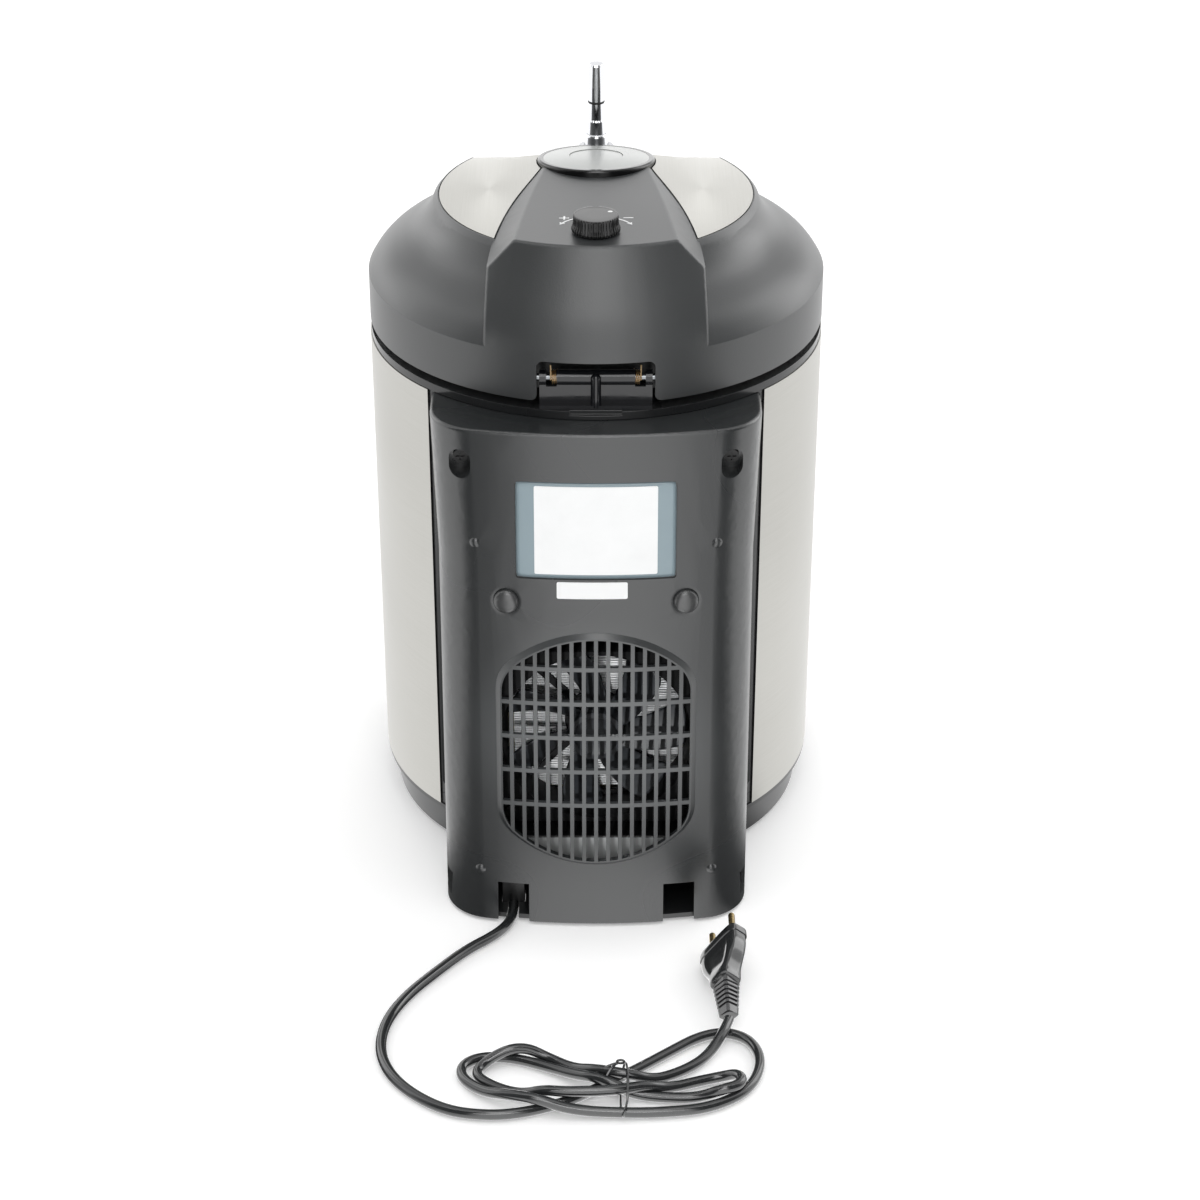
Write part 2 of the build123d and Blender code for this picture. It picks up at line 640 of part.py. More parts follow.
def control_panel():
    reach = SKIN_R + PANEL_T
    plate = ring(reach, SKIN_R + FIT, 0, HIGH / 1.5)
    plate &= through_y(panel_outline(PANEL_X, PANEL_Z0, PANEL_Z1, 8), FRONT0, FRONT1)
    lip = PANEL_LIP + GAP
    frame = ring(reach - 0.2, SPIGOT_R - SPIGOT_T, 0, HIGH / 1.5)
    frame &= through_y(panel_outline(PANEL_X - lip, PANEL_Z0 + lip, PANEL_Z1 - lip, 5), FRONT0, FRONT1)
    panel = plate + frame
    panel -= through_y(Pos(0, DISPLAY_Z) * RectangleRounded(2 * DISPLAY_X, DISPLAY_H, 3), FRONT0, FRONT1)
    for button in (-1, 0, 1):
        panel -= rod_y(BUTTON_R + GAP, button * BUTTON_PITCH, FRONT0, FRONT1, BUTTON_Z)
    return panel


def display_window():
    pane = ring(SKIN_R + PANEL_T - GAP, SPIGOT_R - SPIGOT_T + 0.5, 0, HIGH / 1.5)
    outline = offset(RectangleRounded(2 * DISPLAY_X, DISPLAY_H, 3), -FIT)
    return pane & through_y(Pos(0, DISPLAY_Z) * outline, FRONT0, FRONT1)


def control_board():
    board = block(-PANEL_X + 4, PANEL_X - 4, BOARD_Y, BOARD_Y + 1.6, PANEL_Z0 + 8, PANEL_Z1 - 8)
    face = -math.sqrt((SPIGOT_R - SPIGOT_T) ** 2 - (PANEL_X - 6) ** 2)
    stand = block(PANEL_X - 8, PANEL_X - 5, face + GAP, BOARD_Y, PANEL_Z0 + 12, PANEL_Z0 + 20)
    stand += block(PANEL_X - 8, PANEL_X - 5, face + GAP, BOARD_Y, PANEL_Z1 - 20, PANEL_Z1 - 12)
    for button in (-1, 0, 1):
        board += rod_y(3, button * BUTTON_PITCH, BOARD_Y - 2.2, BOARD_Y + 0.5, BUTTON_Z)
    digits = block(-DISPLAY_X + 3, DISPLAY_X - 3, BOARD_Y - 6, BOARD_Y, DISPLAY_Z - 7, DISPLAY_Z + 7)
    return board + digits + both(stand)


def button(place):
    """One push button; place is -1, 0 or 1 from the user's right to left."""
    x = place * BUTTON_PITCH
    front = -math.sqrt((SKIN_R + PANEL_T) ** 2 - x * x) - BUTTON_PROUD
    cap = rod_y(BUTTON_R, x, front, BOARD_Y - 2.2 - BUTTON_TRAVEL - GAP, BUTTON_Z)
    return fillet(cap.edges().sort_by(Axis.Y)[0], 0.8)


# ---------------------------------------------------------------- drip tray
def tray_plan(inset):
    return Pos(0, TRAY_Y) * Circle(TRAY_R - inset) - Circle(SKIN_R + 2 * GAP + inset)


def drip_tray():
    tray = Pos(0, 0, TRAY_Z0) * extrude(tray_plan(0), TRAY_Z1 - TRAY_Z0)
    ledge_z = TRAY_Z1 - GRID_T - 2 * GAP
    tray -= Pos(0, 0, ledge_z) * extrude(tray_plan(TRAY_T), HIGH)
    return tray - Pos(0, 0, TRAY_Z0 + TRAY_T) * extrude(tray_plan(TRAY_T + TRAY_LEDGE), HIGH)


def drip_grid():
    plan = tray_plan(TRAY_T + GAP)
    field = tray_plan(TRAY_T + TRAY_LEDGE + 1.5)
    slots = Sketch()
    count = int(2 * TRAY_R / GRID_PITCH)
    for column in range(count):
        x = (column - (count - 1) / 2) * GRID_PITCH
        slots += Pos(x, TRAY_Y - TRAY_R / 2) * Rectangle(GRID_SLOT, TRAY_R + 12)
    slots -= Pos(0, 32.2 - TRAY_FRONT) * Rectangle(3 * TRAY_R, 3)
    slots -= Pos(0, 18.2 - TRAY_FRONT) * Rectangle(3 * TRAY_R, 3)
    z = TRAY_Z1 - GRID_T - GAP
    return Pos(0, 0, z) * extrude(plan - (slots & field), GRID_T)


# ---------------------------------------------------------------- hinge
def hinge_bracket():
    plate = block(-NOTCH_X + 1.5, NOTCH_X - 1.5, HINGE_Y - 2.6, HINGE_Y + 2.6, DECK_Z + FIT, HINGE_Z)
    foot = block(-NOTCH_X + 1.5, NOTCH_X - 1.5, HINGE_Y - 9, HINGE_Y + 7, DECK_Z + FIT, DECK_Z + 2.4)
    spring_end = SPRING_X + SPRING_TURNS * SPRING_PITCH + 1.6
    barrel = rod_x(BARREL_R, -SPRING_X, SPRING_X, HINGE_Y, HINGE_Z)
    outer = rod_x(BARREL_R, spring_end, NOTCH_X - 1.5, HINGE_Y, HINGE_Z)
    rib = Pos(0, HINGE_Y + 4.4, DECK_Z + 1) * Cylinder(
        RIB_W / 2, HINGE_Z - DECK_Z, align=(Align.CENTER, Align.CENTER, Align.MIN))
    rib += Pos(0, HINGE_Y + 4.4, HINGE_Z + 1) * Sphere(RIB_W / 2)
    rib += block(-RIB_W / 2, RIB_W / 2, HINGE_Y, HINGE_Y + 4.4, DECK_Z + 1, HINGE_Z + 1)
    pocket = rod_x(SPRING_R + SPRING_WIRE + 0.5, SPRING_X, spring_end, HINGE_Y, HINGE_Z)
    bracket = plate + foot + barrel + rib - both(pocket) + both(outer)
    return bracket - rod_x(PIN_R + 0.02, -50, 50, HINGE_Y, HINGE_Z)


def hinge_pin():
    return rod_x(PIN_R, -PIN_X, PIN_X, HINGE_Y, HINGE_Z)


def hinge_springs():
    height = SPRING_TURNS * SPRING_PITCH
    path = Helix(SPRING_PITCH, height, SPRING_R - SPRING_WIRE)
    start = path @ 0
    section = Plane(origin=start, z_dir=path % 0) * Circle(SPRING_WIRE)
    coil = sweep(section, path=path, is_frenet=True)
    coil = Pos(SPRING_X + 0.7, HINGE_Y, HINGE_Z) * Rot(0, 90, 0) * coil
    return both(coil)


def hinge_screws():
    screw = Pos(18, HINGE_Y - 6, DECK_Z + 2.4 + FIT) * extrude(Circle(2.2), 1.4)
    return both(screw)


# ---------------------------------------------------------------- lid
def ogee(inset):
    """Shoulder between the band's crease and the rim of the plates."""
    drop = 0.75 * inset
    low = (LID_R - inset, CREASE_Z - drop * 0.6)
    high = (RIM_R + 3.6 - drop, RIM_Z - 2.8 - drop)
    bend = (low[0] - 12.8, low[1] + 24.9)
    reach = (high[0] + 10.9, high[1] - 28.0)
    return Bezier(low, bend, reach, high), low, high


def bowl_form(inset):
    """The lid without its spine: band, concave shoulder and shallow dome, cut off in front."""
    return full_bowl(inset) - visor_cut(inset)


def full_bowl(inset):
    shoulder, low, high = ogee(inset)
    rim = (RIM_R + 1.2 - inset, RIM_Z - inset)
    top = DOME_TOP - inset
    radius = DOME_R - inset
    middle_r = rim[0] / 2
    middle = (middle_r, top - radius + math.sqrt(radius ** 2 - middle_r ** 2))
    edges = [
        Line((0, LID_Z0 - inset), (low[0], LID_Z0 - inset)),
        Line((low[0], LID_Z0 - inset), low),
        shoulder,
        Line(high, rim),
        ThreePointArc(rim, middle, (0, top)),
        Line((0, top), (0, LID_Z0 - inset)),
    ]
    return revolve(Plane.XZ * make_face(edges), axis=Axis.Z)


def visor_cut(inset):
    """Everything above the sloping front of the lid."""
    away = Pos(0, VISOR_Y, VISOR_Z - inset) * Rot(VISOR_TILT, 0, 0)
    return away * Box(400, 300, 80, align=(Align.CENTER, Align.MAX, Align.MIN))


def spine_section(y, top_half, foot_half, foot_z, grow):
    """Cross section of the spine: a flat top, a rounded ridge, a slanted side and a skirt."""
    slope = (SPINE_REAR_Z - SPINE_FRONT_Z) / SPINE_REAR_R
    top_z = SPINE_FRONT_Z + slope * y
    skirt = 2.0
    half = [
        (top_half + grow * 0.6, top_z + grow),
        (foot_half + grow, foot_z + grow * 0.6),
        (foot_half + skirt + grow, CREASE_Z - 20),
    ]
    points = half + [(-x, z) for x, z in reversed(half)]
    outline = make_face(Polyline(*points, close=True))
    ridges = outline.vertices().sort_by(Axis.Y)[-2:]
    return Plane.XZ.offset(-y) * fillet(ridges, RIDGE_SOFT + grow)


def rear_cut(grow):
    """Everything inside the lid's rear face, which leaves the band upright and leans in."""
    low = (LID_R + grow, CREASE_Z)
    high = (SPINE_REAR_R + grow, SPINE_REAR_Z + grow)
    back = Bezier(low, (low[0], low[1] + 18.5), (high[0] + 11.5, high[1] - 22), high)
    over = (high[0] - 2, high[1] + 6)
    edges = [
        Line((0, LID_Z0 + 4), (low[0], LID_Z0 + 4)), Line((low[0], LID_Z0 + 4), low), back,
        Line(high, over), Line(over, (0, over[1])), Line((0, over[1]), (0, LID_Z0 + 4)),
    ]
    return revolve(Plane.XZ * make_face(edges), axis=Axis.Z)


def spine_form(grow, soft=0.0):
    """The raised back of the lid, which widens from the disc to the rear crease."""
    stations = [
        (-20, 30.8, 33.0, 412.6),
        (20, 36.5, 46.0, 411.2),
        (60, 42.0, 57.2, 406.6),
        (LID_R - 38.3, 46.8, 62.4, 400.6),
        (LID_R + 3.7, 51.0, 65.4, 396.6),
    ]
    form = loft([spine_section(*station, grow) for station in stations]) & rear_cut(grow)
    if not soft:
        return form
    edges = [e for e in form.edges() if (e @ 0).Y > LID_R / 2 and (e @ 1).Y > LID_R / 2]
    flat = [e for e in edges if (e @ 0).Z < CREASE_Z + 1 and (e @ 1).Z < CREASE_Z + 1 and abs((e @ 0 - e @ 1).Z) < 1]
    return fillet([e for e in edges if e not in flat], soft)


def disc_frame():
    return Pos(0, DISC_Y, DISC_Z) * Rot(DISC_TILT, 0, 0)


def lid_outer():
    seat = disc_frame() * Pos(0, 0, -DISC_H)
    boss = seat * Cylinder(DISC_R - 2.5, 14, align=(Align.CENTER, Align.CENTER, Align.MAX))
    bed = drum(RIM_R + PLATE_GAP, RIM_Z - 40, HIGH) & (full_bowl(0) - full_bowl(PLATE_T + FIT))
    return bowl_form(0) - bed + spine_form(0, REAR_SOFT) + boss


def notch(back_y):
    """Cut-out for the hinge, with round top corners and flared bottom corners."""
    low = LID_Z0 - 10
    opening = Pos(0, (low + NOTCH_Z1) / 2) * Rectangle(2 * NOTCH_X, NOTCH_Z1 - low)
    opening += Pos(0, LID_Z0 - 5) * Rectangle(4 * NOTCH_X, 10)
    corners = [v for v in opening.vertices() if abs(abs(v.X) - NOTCH_X) < 0.1]
    return through_y(fillet(corners, NOTCH_SOFT), back_y, LID_R + 5)


def lid_shell():
    outer = lid_outer()
    inner = bowl_form(LID_T) + spine_form(-LID_T)
    shell = outer - inner
    side = NOTCH_X + GAP
    back_y = HINGE_Y - 9 - 2.4
    pocket = block(-side - EAR_T, side + EAR_T, back_y - 2.4, LID_R + 2, LID_Z0, NOTCH_Z1 + 2.4) & outer
    shell += pocket
    shell -= notch(back_y)
    shell -= rod_x(PIN_R + FIT, -side - EAR_T - 1, side + EAR_T + 1, HINGE_Y, HINGE_Z)
    shell -= disc_frame() * Pos(0, 0, -DISC_H) * Cylinder(DISC_R + GAP, 30, align=(
        Align.CENTER, Align.CENTER, Align.MIN))
    shell -= Pos(0, KNOB_Y, 0) * drum(STEM_R + 0.6, SPINE_REAR_Z - 12, HIGH)
    shell -= Pos(0, TAP_Y, 0) * drum(COLLAR_R + GAP, CREASE_Z, HIGH)
    return shell - rod_y(SPOUT_R + 0.8, 0, -LID_R - 5, -LID_R + 10, SPOUT_Z)


def steel_plate(side):
    """Brushed plate let into the dome; side is 1 for +X."""
    film = full_bowl(0) - full_bowl(PLATE_T)
    plate = film & drum(RIM_R, RIM_Z - 20, HIGH)
    plate -= spine_form(PLATE_GAP) + visor_cut(0)
    plate -= disc_frame() * Pos(0, 0, -20) * Cylinder(DISC_R + PLATE_GAP, 60)
    plate &= block(0, side * HIGH, -HIGH, HIGH, 0, HIGH)
    keep = plate.solids().sort_by(SortBy.VOLUME)[-1]
    return Part() + keep


def lid_liner():
    flange = ring(LID_R - LID_T - GAP, PLUG_R - LINER_T, LID_Z0 + 0.1, LID_Z0 + 0.1 + LINER_T)
    cup = drum(PLUG_R, PLUG_Z, LID_Z0 + 0.1 + LINER_T) - drum(PLUG_R - LINER_T, PLUG_Z + LINER_T, HIGH)
    side = NOTCH_X + EAR_T + 2 * GAP
    return flange + cup - block(-side, side, HINGE_Y - 9 - 4.8 - GAP, HIGH, 0, HIGH)


def lid_foam():
    return drum(PLUG_R - LINER_T - GAP, PLUG_Z + LINER_T + GAP, SPOUT_Z - SPOUT_R - 2)


def lid_gasket():
    inner = WELL_R + 1
    z0 = DECK_Z + FIT + WELL_T + GAP
    return ring(inner + 4.4, inner, z0, LID_Z0 + 0.1)


def disc_bezel():
    cup = Pos(0, 0, -DISC_H) * Cylinder(DISC_R, DISC_H, align=(Align.CENTER, Align.CENTER, Align.MIN))
    cup = fillet(cup.edges().sort_by(Axis.Z)[-1], 1.6)
    cup -= Pos(0, 0, -1.6) * Cylinder(LENS_R + 0.1, 10, align=(Align.CENTER, Align.CENTER, Align.MIN))
    return disc_frame() * cup


def lens_cap(outer, inner, base, rise):
    """Shallow domed ring or disc, rise higher in the middle than at its edge."""
    cap = Cylinder(outer, 8, align=(Align.CENTER, Align.CENTER, Align.MIN))
    radius = (LENS_R ** 2 + rise ** 2) / 2 / rise
    cap &= Pos(0, 0, base + rise - radius) * Sphere(radius)
    cap = Pos(0, 0, -1.5) * (cap & Cylinder(outer + 1, 30))
    if inner:
        cap -= Cylinder(inner, 40)
    return disc_frame() * cap


def disc_lens():
    return lens_cap(LENS_R, LENS_R / 2 + 0.15, 1.4, 2.0)


def disc_centre():
    return lens_cap(LENS_R / 2 - 0.15, 0, 1.0, 2.0)


# ---------------------------------------------------------------- regulator
def regulator_body():
    top = SPINE_FRONT_Z + (SPINE_REAR_Z - SPINE_FRONT_Z) * (KNOB_Y - REG_R) / SPINE_REAR_R - LID_T - GAP
    body = drum(REG_R, top - 26, top)
    body += drum(REG_R - 5, top - 40, top - 25)
    body -= drum(STEM_R + FIT, top - 14, HIGH)
    body -= drum(REG_R - 8, top - 41, top - 28)
    return Pos(0, KNOB_Y, 0) * body


def regulator_knob():
    z0 = SPINE_REAR_Z + GAP
    z1 = z0 + KNOB_H
    core = spin([
        (0, z0), (KNOB_R, z0), (KNOB_R, z0 + 1.6), (KNOB_TOP_R + 0.3, z0 + 3.2),
        (KNOB_TOP_R, z1 - 0.8), (KNOB_TOP_R - 0.8, z1), (0, z1)])
    groove = Pos(KNOB_TOP_R + 0.5, 0, z0 + 3.2) * Cylinder(
        0.55, KNOB_H, align=(Align.CENTER, Align.CENTER, Align.MIN))
    for rib in range(KNOB_RIBS):
        core -= Rot(0, 0, 360 / KNOB_RIBS * rib) * groove
    core -= drum(STEM_R + 0.02, z0 - 1, z0 + 5)
    return Pos(0, KNOB_Y, 0) * core


def knob_stem():
    return Pos(0, KNOB_Y, 0) * drum(STEM_R, SPINE_REAR_Z - 15, SPINE_REAR_Z + GAP + 4.8)


# ---------------------------------------------------------------- tap
def tap_collar():
    """Chrome foot with a ball seat, open in front for the lever's swing."""
    z0 = CREASE_Z + 14
    collar = spin([
        (0, z0), (COLLAR_R, z0), (COLLAR_R, COLLAR_TOP - 4.5),
        (COLLAR_R - 0.5, COLLAR_TOP - 1), (COLLAR_R - 1.5, COLLAR_TOP), (0, COLLAR_TOP)])
    gate = BALL_R + GAP
    tilt = math.radians(LEVER_SWING)
    front = gate / math.cos(tilt) + (COLLAR_TOP - PIVOT_Z) * math.tan(tilt)
    slot = Rot(0, 0, 90) * SlotOverall(gate + front, 2 * gate)
    slot_floor = PIVOT_Z - gate * math.sin(tilt)
    collar -= Pos(0, (gate - front) / 2, slot_floor) * extrude(slot, 20)
    collar -= Pos(0, 0, PIVOT_Z) * Sphere(gate - 0.05)
    collar -= rod_x(PIVOT_R + FIT, -PIVOT_REACH - GAP, PIVOT_REACH + GAP, 0, PIVOT_Z)
    collar -= drum(3.2, CREASE_Z, PIVOT_Z)
    return Pos(0, TAP_Y, 0) * collar


def tap_lever():
    lever = Pos(0, 0, PIVOT_Z) * Sphere(BALL_R)
    lever += rod_x(PIVOT_R, -PIVOT_REACH, PIVOT_REACH, 0, PIVOT_Z)
    lever += spin([
        (0, PIVOT_Z), (BALL_R, PIVOT_Z), (BALL_R, 402.6), (6.6, 403.8), (5.95, 404.2),
        (5.95, 412.6), (5.0, 413.6), (HANDLE_R, LEVER_TOP), (0, LEVER_TOP)])
    return Pos(0, TAP_Y, 0) * lever


def lever_o_ring():
    return Pos(0, TAP_Y, LEVER_TOP + 0.65) * Torus(HANDLE_R - 0.3, 0.6)


def tap_handle():
    handle = spin([
        (0, LEVER_TOP + FIT), (HANDLE_R - 1.1, LEVER_TOP + FIT), (HANDLE_R - 1.1, LEVER_TOP + 1.35),
        (HANDLE_R, LEVER_TOP + 1.45), (HANDLE_R + 0.2, HANDLE_TOP - 1), (HANDLE_R - 0.8, HANDLE_TOP),
        (0, HANDLE_TOP)])
    return Pos(0, TAP_Y, 0) * handle


def tap_valve():
    valve = drum(COLLAR_R - 3, LID_Z0 + 4, CREASE_Z + 14 - FIT)
    valve -= drum(3.2, SPOUT_Z, HIGH)
    valve -= Pos(0, 0, 0) * rod_y(SPOUT_R + 0.03, 0, -40, -8, SPOUT_Z)
    return Pos(0, TAP_Y, 0) * valve


def spout():
    start = TAP_Y - 8.3
    path = FilletPolyline(
        (0, start, SPOUT_Z), (0, SPOUT_REACH, SPOUT_Z), (0, SPOUT_REACH - 3, SPOUT_LOW), radius=13)
    section = Plane(origin=path @ 0, z_dir=path % 0) * (Circle(SPOUT_R) - Circle(SPOUT_BORE))
    return sweep(section, path=path)


def spout_flange():
    y = -LID_R + 0.6
    flange = rod_y(SPOUT_R + 5, 0, y - 3.4, y, SPOUT_Z)
    flange = fillet(flange.edges().sort_by(Axis.Y)[0], 1.6)
    return flange - drum(LID_R + FIT, 0, HIGH) - rod_y(SPOUT_R + FIT, 0, y - 6, y + 3, SPOUT_Z)


# ---------------------------------------------------------------- mains lead
def cord_radii():
    """Each bend's radius is as large as its two runs allow."""
    points = [Vector(*p) for p in CORD_POINTS]
    radii = []
    for before, here, after in zip(points, points[1:], points[2:]):
        first = here - before
        second = after - here
        turn = math.radians(first.get_angle(second))
        radii.append(0.45 * min(first.length, second.length) / math.tan(turn / 2))
    return radii


def power_cord():
    radii = cord_radii()
    print("cord radii", [round(r) for r in radii])
    path = FilletPolyline(*CORD_POINTS, radius=radii)
    section = Plane(origin=path @ 0, z_dir=path % 0) * Circle(CORD_R)
    tube = sweep(section, path=path)
    print("cord volume ratio", round(tube.volume / (math.pi * CORD_R ** 2 * path.length), 4))
    return tube


def cord_hank():
    outline = make_face(Spline(*HANK_POINTS, periodic=True))
    hank = extrude(outline, HANK_H)
    groove = TIE_R + 1.4
    side = block(TIE_X - groove, TIE_X + groove, 300, 400, -5, 40)
    core = block(TIE_X - 9, TIE_X + 9, 334.5, 370.5, 2 * TIE_R + GAP, HANK_H - 2 * TIE_R - GAP)
    hank -= side - core
    end = Vector(*CORD_POINTS[-1])
    lead = Plane(origin=end, z_dir=end - Vector(*CORD_POINTS[-2])).location
    hank -= lead * Pos(0, 0, FIT - 15) * Box(9, 9, 30)
    return hank - relief_frame() * Pos(0, 0, 15 - RELIEF_L - FIT) * Box(12, 12, 30)


def twist_tie():
    y0 = 334.5 - TIE_R - GAP
    y1 = 370.5 + TIE_R + GAP
    z0 = TIE_R + 0.05
    z1 = HANK_H - TIE_R
    corners = [(TIE_X, (y0 + y1) / 2, z0), (TIE_X, y1, z0), (TIE_X, y1, z1), (TIE_X, y0, z1),
               (TIE_X, y0, z0)]
    loop = FilletPolyline(*corners, (TIE_X, (y0 + y1) / 2 - 0.02, z0), radius=1.6)
    return sweep(Plane(origin=loop @ 0, z_dir=loop % 0) * Circle(TIE_R), path=loop)


def plug_frame():
    """Local +Z runs from the lead to the pins, and local X along the row of pins."""
    roll = math.radians(PLUG_ROLL)
    return Plane(origin=PLUG_ORIGIN, x_dir=(-math.cos(roll), 0, math.sin(roll)), z_dir=(0, -1, 0)).location


def plug_body():
    back = RectangleRounded(13, 10, 4)
    waist = Pos(0, 0, PLUG_L * 0.55) * RectangleRounded(PLUG_W - 5, PLUG_D - 1, 4)
    front = Pos(0, 0, PLUG_L) * RectangleRounded(PLUG_W, PLUG_D, 4)
    body = loft([back, waist], ruled=True) + loft([waist, front], ruled=True)
    body -= Pos(0, 0, PLUG_L - 0.5) * both(Pos(PLUG_PIN_PITCH / 2, 0, 0) * Cylinder(PLUG_PIN_R + 0.02, 8))
    return plug_frame() * body


def plug_pins():
    pin = Cylinder(PLUG_PIN_R, PLUG_PIN_L + 3, align=(Align.CENTER, Align.CENTER, Align.MIN))
    pin = fillet(pin.edges().sort_by(Axis.Z)[-1], 1.2)
    return plug_frame() * both(Pos(PLUG_PIN_PITCH / 2, 0, PLUG_L - 3) * pin)


def relief_frame():
    """Frame at the plug's end of the relief, with local Z towards the plug."""
    return Pos(*PLUG_ORIGIN) * Rot(0, 0, RELIEF_TURN) * Rot(90 - RELIEF_DROOP, 0, 0)


def plug_relief():
    """Ribbed sleeve that tapers from the plug towards the lead."""
    rings = 6
    step = RELIEF_L / rings
    sleeve = Part()
    for place in range(rings):
        radius = CORD_R + 0.4 + 0.28 * place
        z = place * step - RELIEF_L
        sleeve += Pos(0, 0, z + step / 2) * Cylinder(radius, step)
        if place:
            sleeve += Pos(0, 0, z + step / 2) * Cylinder(radius + 0.9, step / 2)
    plug_side = Pos(PLUG_ORIGIN[0], PLUG_ORIGIN[1] - 20 + FIT, PLUG_ORIGIN[2]) * Box(60, 40, 60)
    sleeve += Pos(0, 0, 1.5) * Cylinder(radius, 3.2)
    return relief_frame() * sleeve - plug_side


# ---------------------------------------------------------------- the pieces
PIECES = {
    "base_plinth": base_plinth,
    "tray_tongue": tray_tongue,
    "rubber_feet": rubber_feet,
    "steel_skin": steel_skin,
    "rear_frame": rear_frame,
    "insulation": insulation,
    "well_liner": well_liner,
    "top_deck": top_deck,
    "back_cover": back_cover,
    "wall_bumpers": wall_bumpers,
    "cover_screws": cover_screws,
    "rating_label": lambda: bare_label(PLATE_W, PLATE_H, 0, LABEL_Z, LABEL_DEEP),
    "small_label": lambda: bare_label(TAG_W, TAG_H, TAG_X, TAG_Z, 0),
    "fan_frame": fan_frame,
    "fan_rotor": fan_rotor,
    "fan_screws": fan_screws,
    "heat_sink": heat_sink,
    "peltier_module": peltier,
    "cold_block": cold_block,
    "power_supply": power_supply,
    "cord_clamp": cord_clamp,
    "control_panel": control_panel,
    "display_window": display_window,
    "control_board": control_board,
    "button_left": lambda: button(1),
    "button_middle": lambda: button(0),
    "button_right": lambda: button(-1),
    "drip_tray": drip_tray,
    "drip_grid": drip_grid,
    "hinge_bracket": hinge_bracket,
    "hinge_pin": hinge_pin,
    "hinge_springs": hinge_springs,
    "hinge_screws": hinge_screws,
    "lid_shell": lid_shell,
    "plate_left": lambda: steel_plate(1),
    "plate_right": lambda: steel_plate(-1),
    "lid_liner": lid_liner,
    "lid_foam": lid_foam,
    "lid_gasket": lid_gasket,
    "disc_bezel": disc_bezel,
    "disc_lens": disc_lens,
    "disc_centre": disc_centre,
    "regulator_body": regulator_body,
    "regulator_knob": regulator_knob,
    "knob_stem": knob_stem,
    "tap_collar": tap_collar,
    "tap_lever": tap_lever,
    "lever_o_ring": lever_o_ring,
    "tap_handle": tap_handle,
    "tap_valve": tap_valve,
    "spout": spout,
    "spout_flange": spout_flange,
    "power_cord": power_cord,
    "cord_hank": cord_hank,
    "twist_tie": twist_tie,
    "plug_body": plug_body,
    "plug_pins": plug_pins,
    "plug_relief": plug_relief,
}


def main():
    os.makedirs("parts", exist_ok=True)
    for name, make in PIECES.items():
        export_step(make(), f"parts/{name}.step")


main()
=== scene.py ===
import json
import math

import bmesh
import bpy
import numpy as np
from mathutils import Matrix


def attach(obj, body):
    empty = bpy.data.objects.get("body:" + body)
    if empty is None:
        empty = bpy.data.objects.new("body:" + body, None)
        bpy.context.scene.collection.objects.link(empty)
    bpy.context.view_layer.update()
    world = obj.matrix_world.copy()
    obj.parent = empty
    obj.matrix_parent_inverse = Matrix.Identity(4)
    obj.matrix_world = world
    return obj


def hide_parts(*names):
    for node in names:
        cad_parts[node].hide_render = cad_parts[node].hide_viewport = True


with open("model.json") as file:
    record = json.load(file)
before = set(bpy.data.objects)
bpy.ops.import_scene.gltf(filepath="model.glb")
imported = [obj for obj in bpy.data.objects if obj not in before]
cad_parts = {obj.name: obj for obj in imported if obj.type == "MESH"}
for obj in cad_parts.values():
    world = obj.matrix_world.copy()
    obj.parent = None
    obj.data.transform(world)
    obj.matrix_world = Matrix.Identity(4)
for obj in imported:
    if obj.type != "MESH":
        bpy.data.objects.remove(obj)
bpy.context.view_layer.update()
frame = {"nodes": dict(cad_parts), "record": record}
nodes = frame["nodes"]
MM = 0.001

# Millimetres and radians, as in the solids, except for the springs, fins, knob ribs and bumper height.
SKIN_R = 138.5
COVER_Z0, COVER_Y0, COVER_LEAN, COVER_BOW = 2.0, 189.2, 32.2 / 317.7, 375.0
RECESS_X, RECESS_H, RECESS_Z, RECESS_DEEP = 93.8, 60.3, 260.4, 1.1
SPINE_Z, SPINE_RISE = 415.2, 1.4 / 112.2
KNOB_Y, KNOB_TOP = 89.0, 426.9
HINGE_Y, HINGE_Z = 127.5, 342.5
SPRING_X, SPRING_R, SPRING_WIRE = 22.0, 3.9, 0.47
SINK_X, SINK_BACK, SINK_BASE, SINK_FRONT, FIN_PITCH, FIN_T = 50.0, 115.9, 5.4, 137.5, 1.72, 1.0
PSU_TOP = 55.0
BUMPER_X, BUMPER_Z, BUMPER_R, BUMPER_H = 52.8, 215.0, 7.4, 3.6
FAN_Z, FAN_BACK, FAN_FRONT, HUB_R, BLADE_R = 120.0, 142.4, 161.8, 17.0, 55.4
KNOB_Z, KNOB_RIBS = 416.9, 42
PLUG_ORIGIN, PLUG_ROLL, PLUG_L, PIN_PITCH = (-76.0, 262.0, 16.4), math.radians(53.0), 33.0, 18.6
RELIEF_L, RELIEF_DROOP, RELIEF_TURN = 28.0, math.radians(17.0), math.radians(3.0)


def linear(code):
    """Linear RGBA of an sRGB hex colour."""
    channels = [int(code[i:i + 2], 16) / 255 for i in (1, 3, 5)]
    return [c / 12.92 if c <= 0.04045 else ((c + 0.055) / 1.055) ** 2.4 for c in channels] + [1.0]


def add_node(tree, kind, settings=None, inputs=None):
    """Adds a node, sets its properties, then sets or links each named input."""
    node = tree.nodes.new("ShaderNode" + kind)
    for key, value in (settings or {}).items():
        setattr(node, key, value)
    for key, value in (inputs or {}).items():
        if isinstance(value, bpy.types.NodeSocket):
            tree.links.new(value, node.inputs[key])
        else:
            node.inputs[key].default_value = value
    return node


def blank(name):
    """A material with an empty node tree."""
    made = bpy.data.materials.new(name)
    made.use_nodes = True
    made.node_tree.nodes.clear()
    return made, made.node_tree


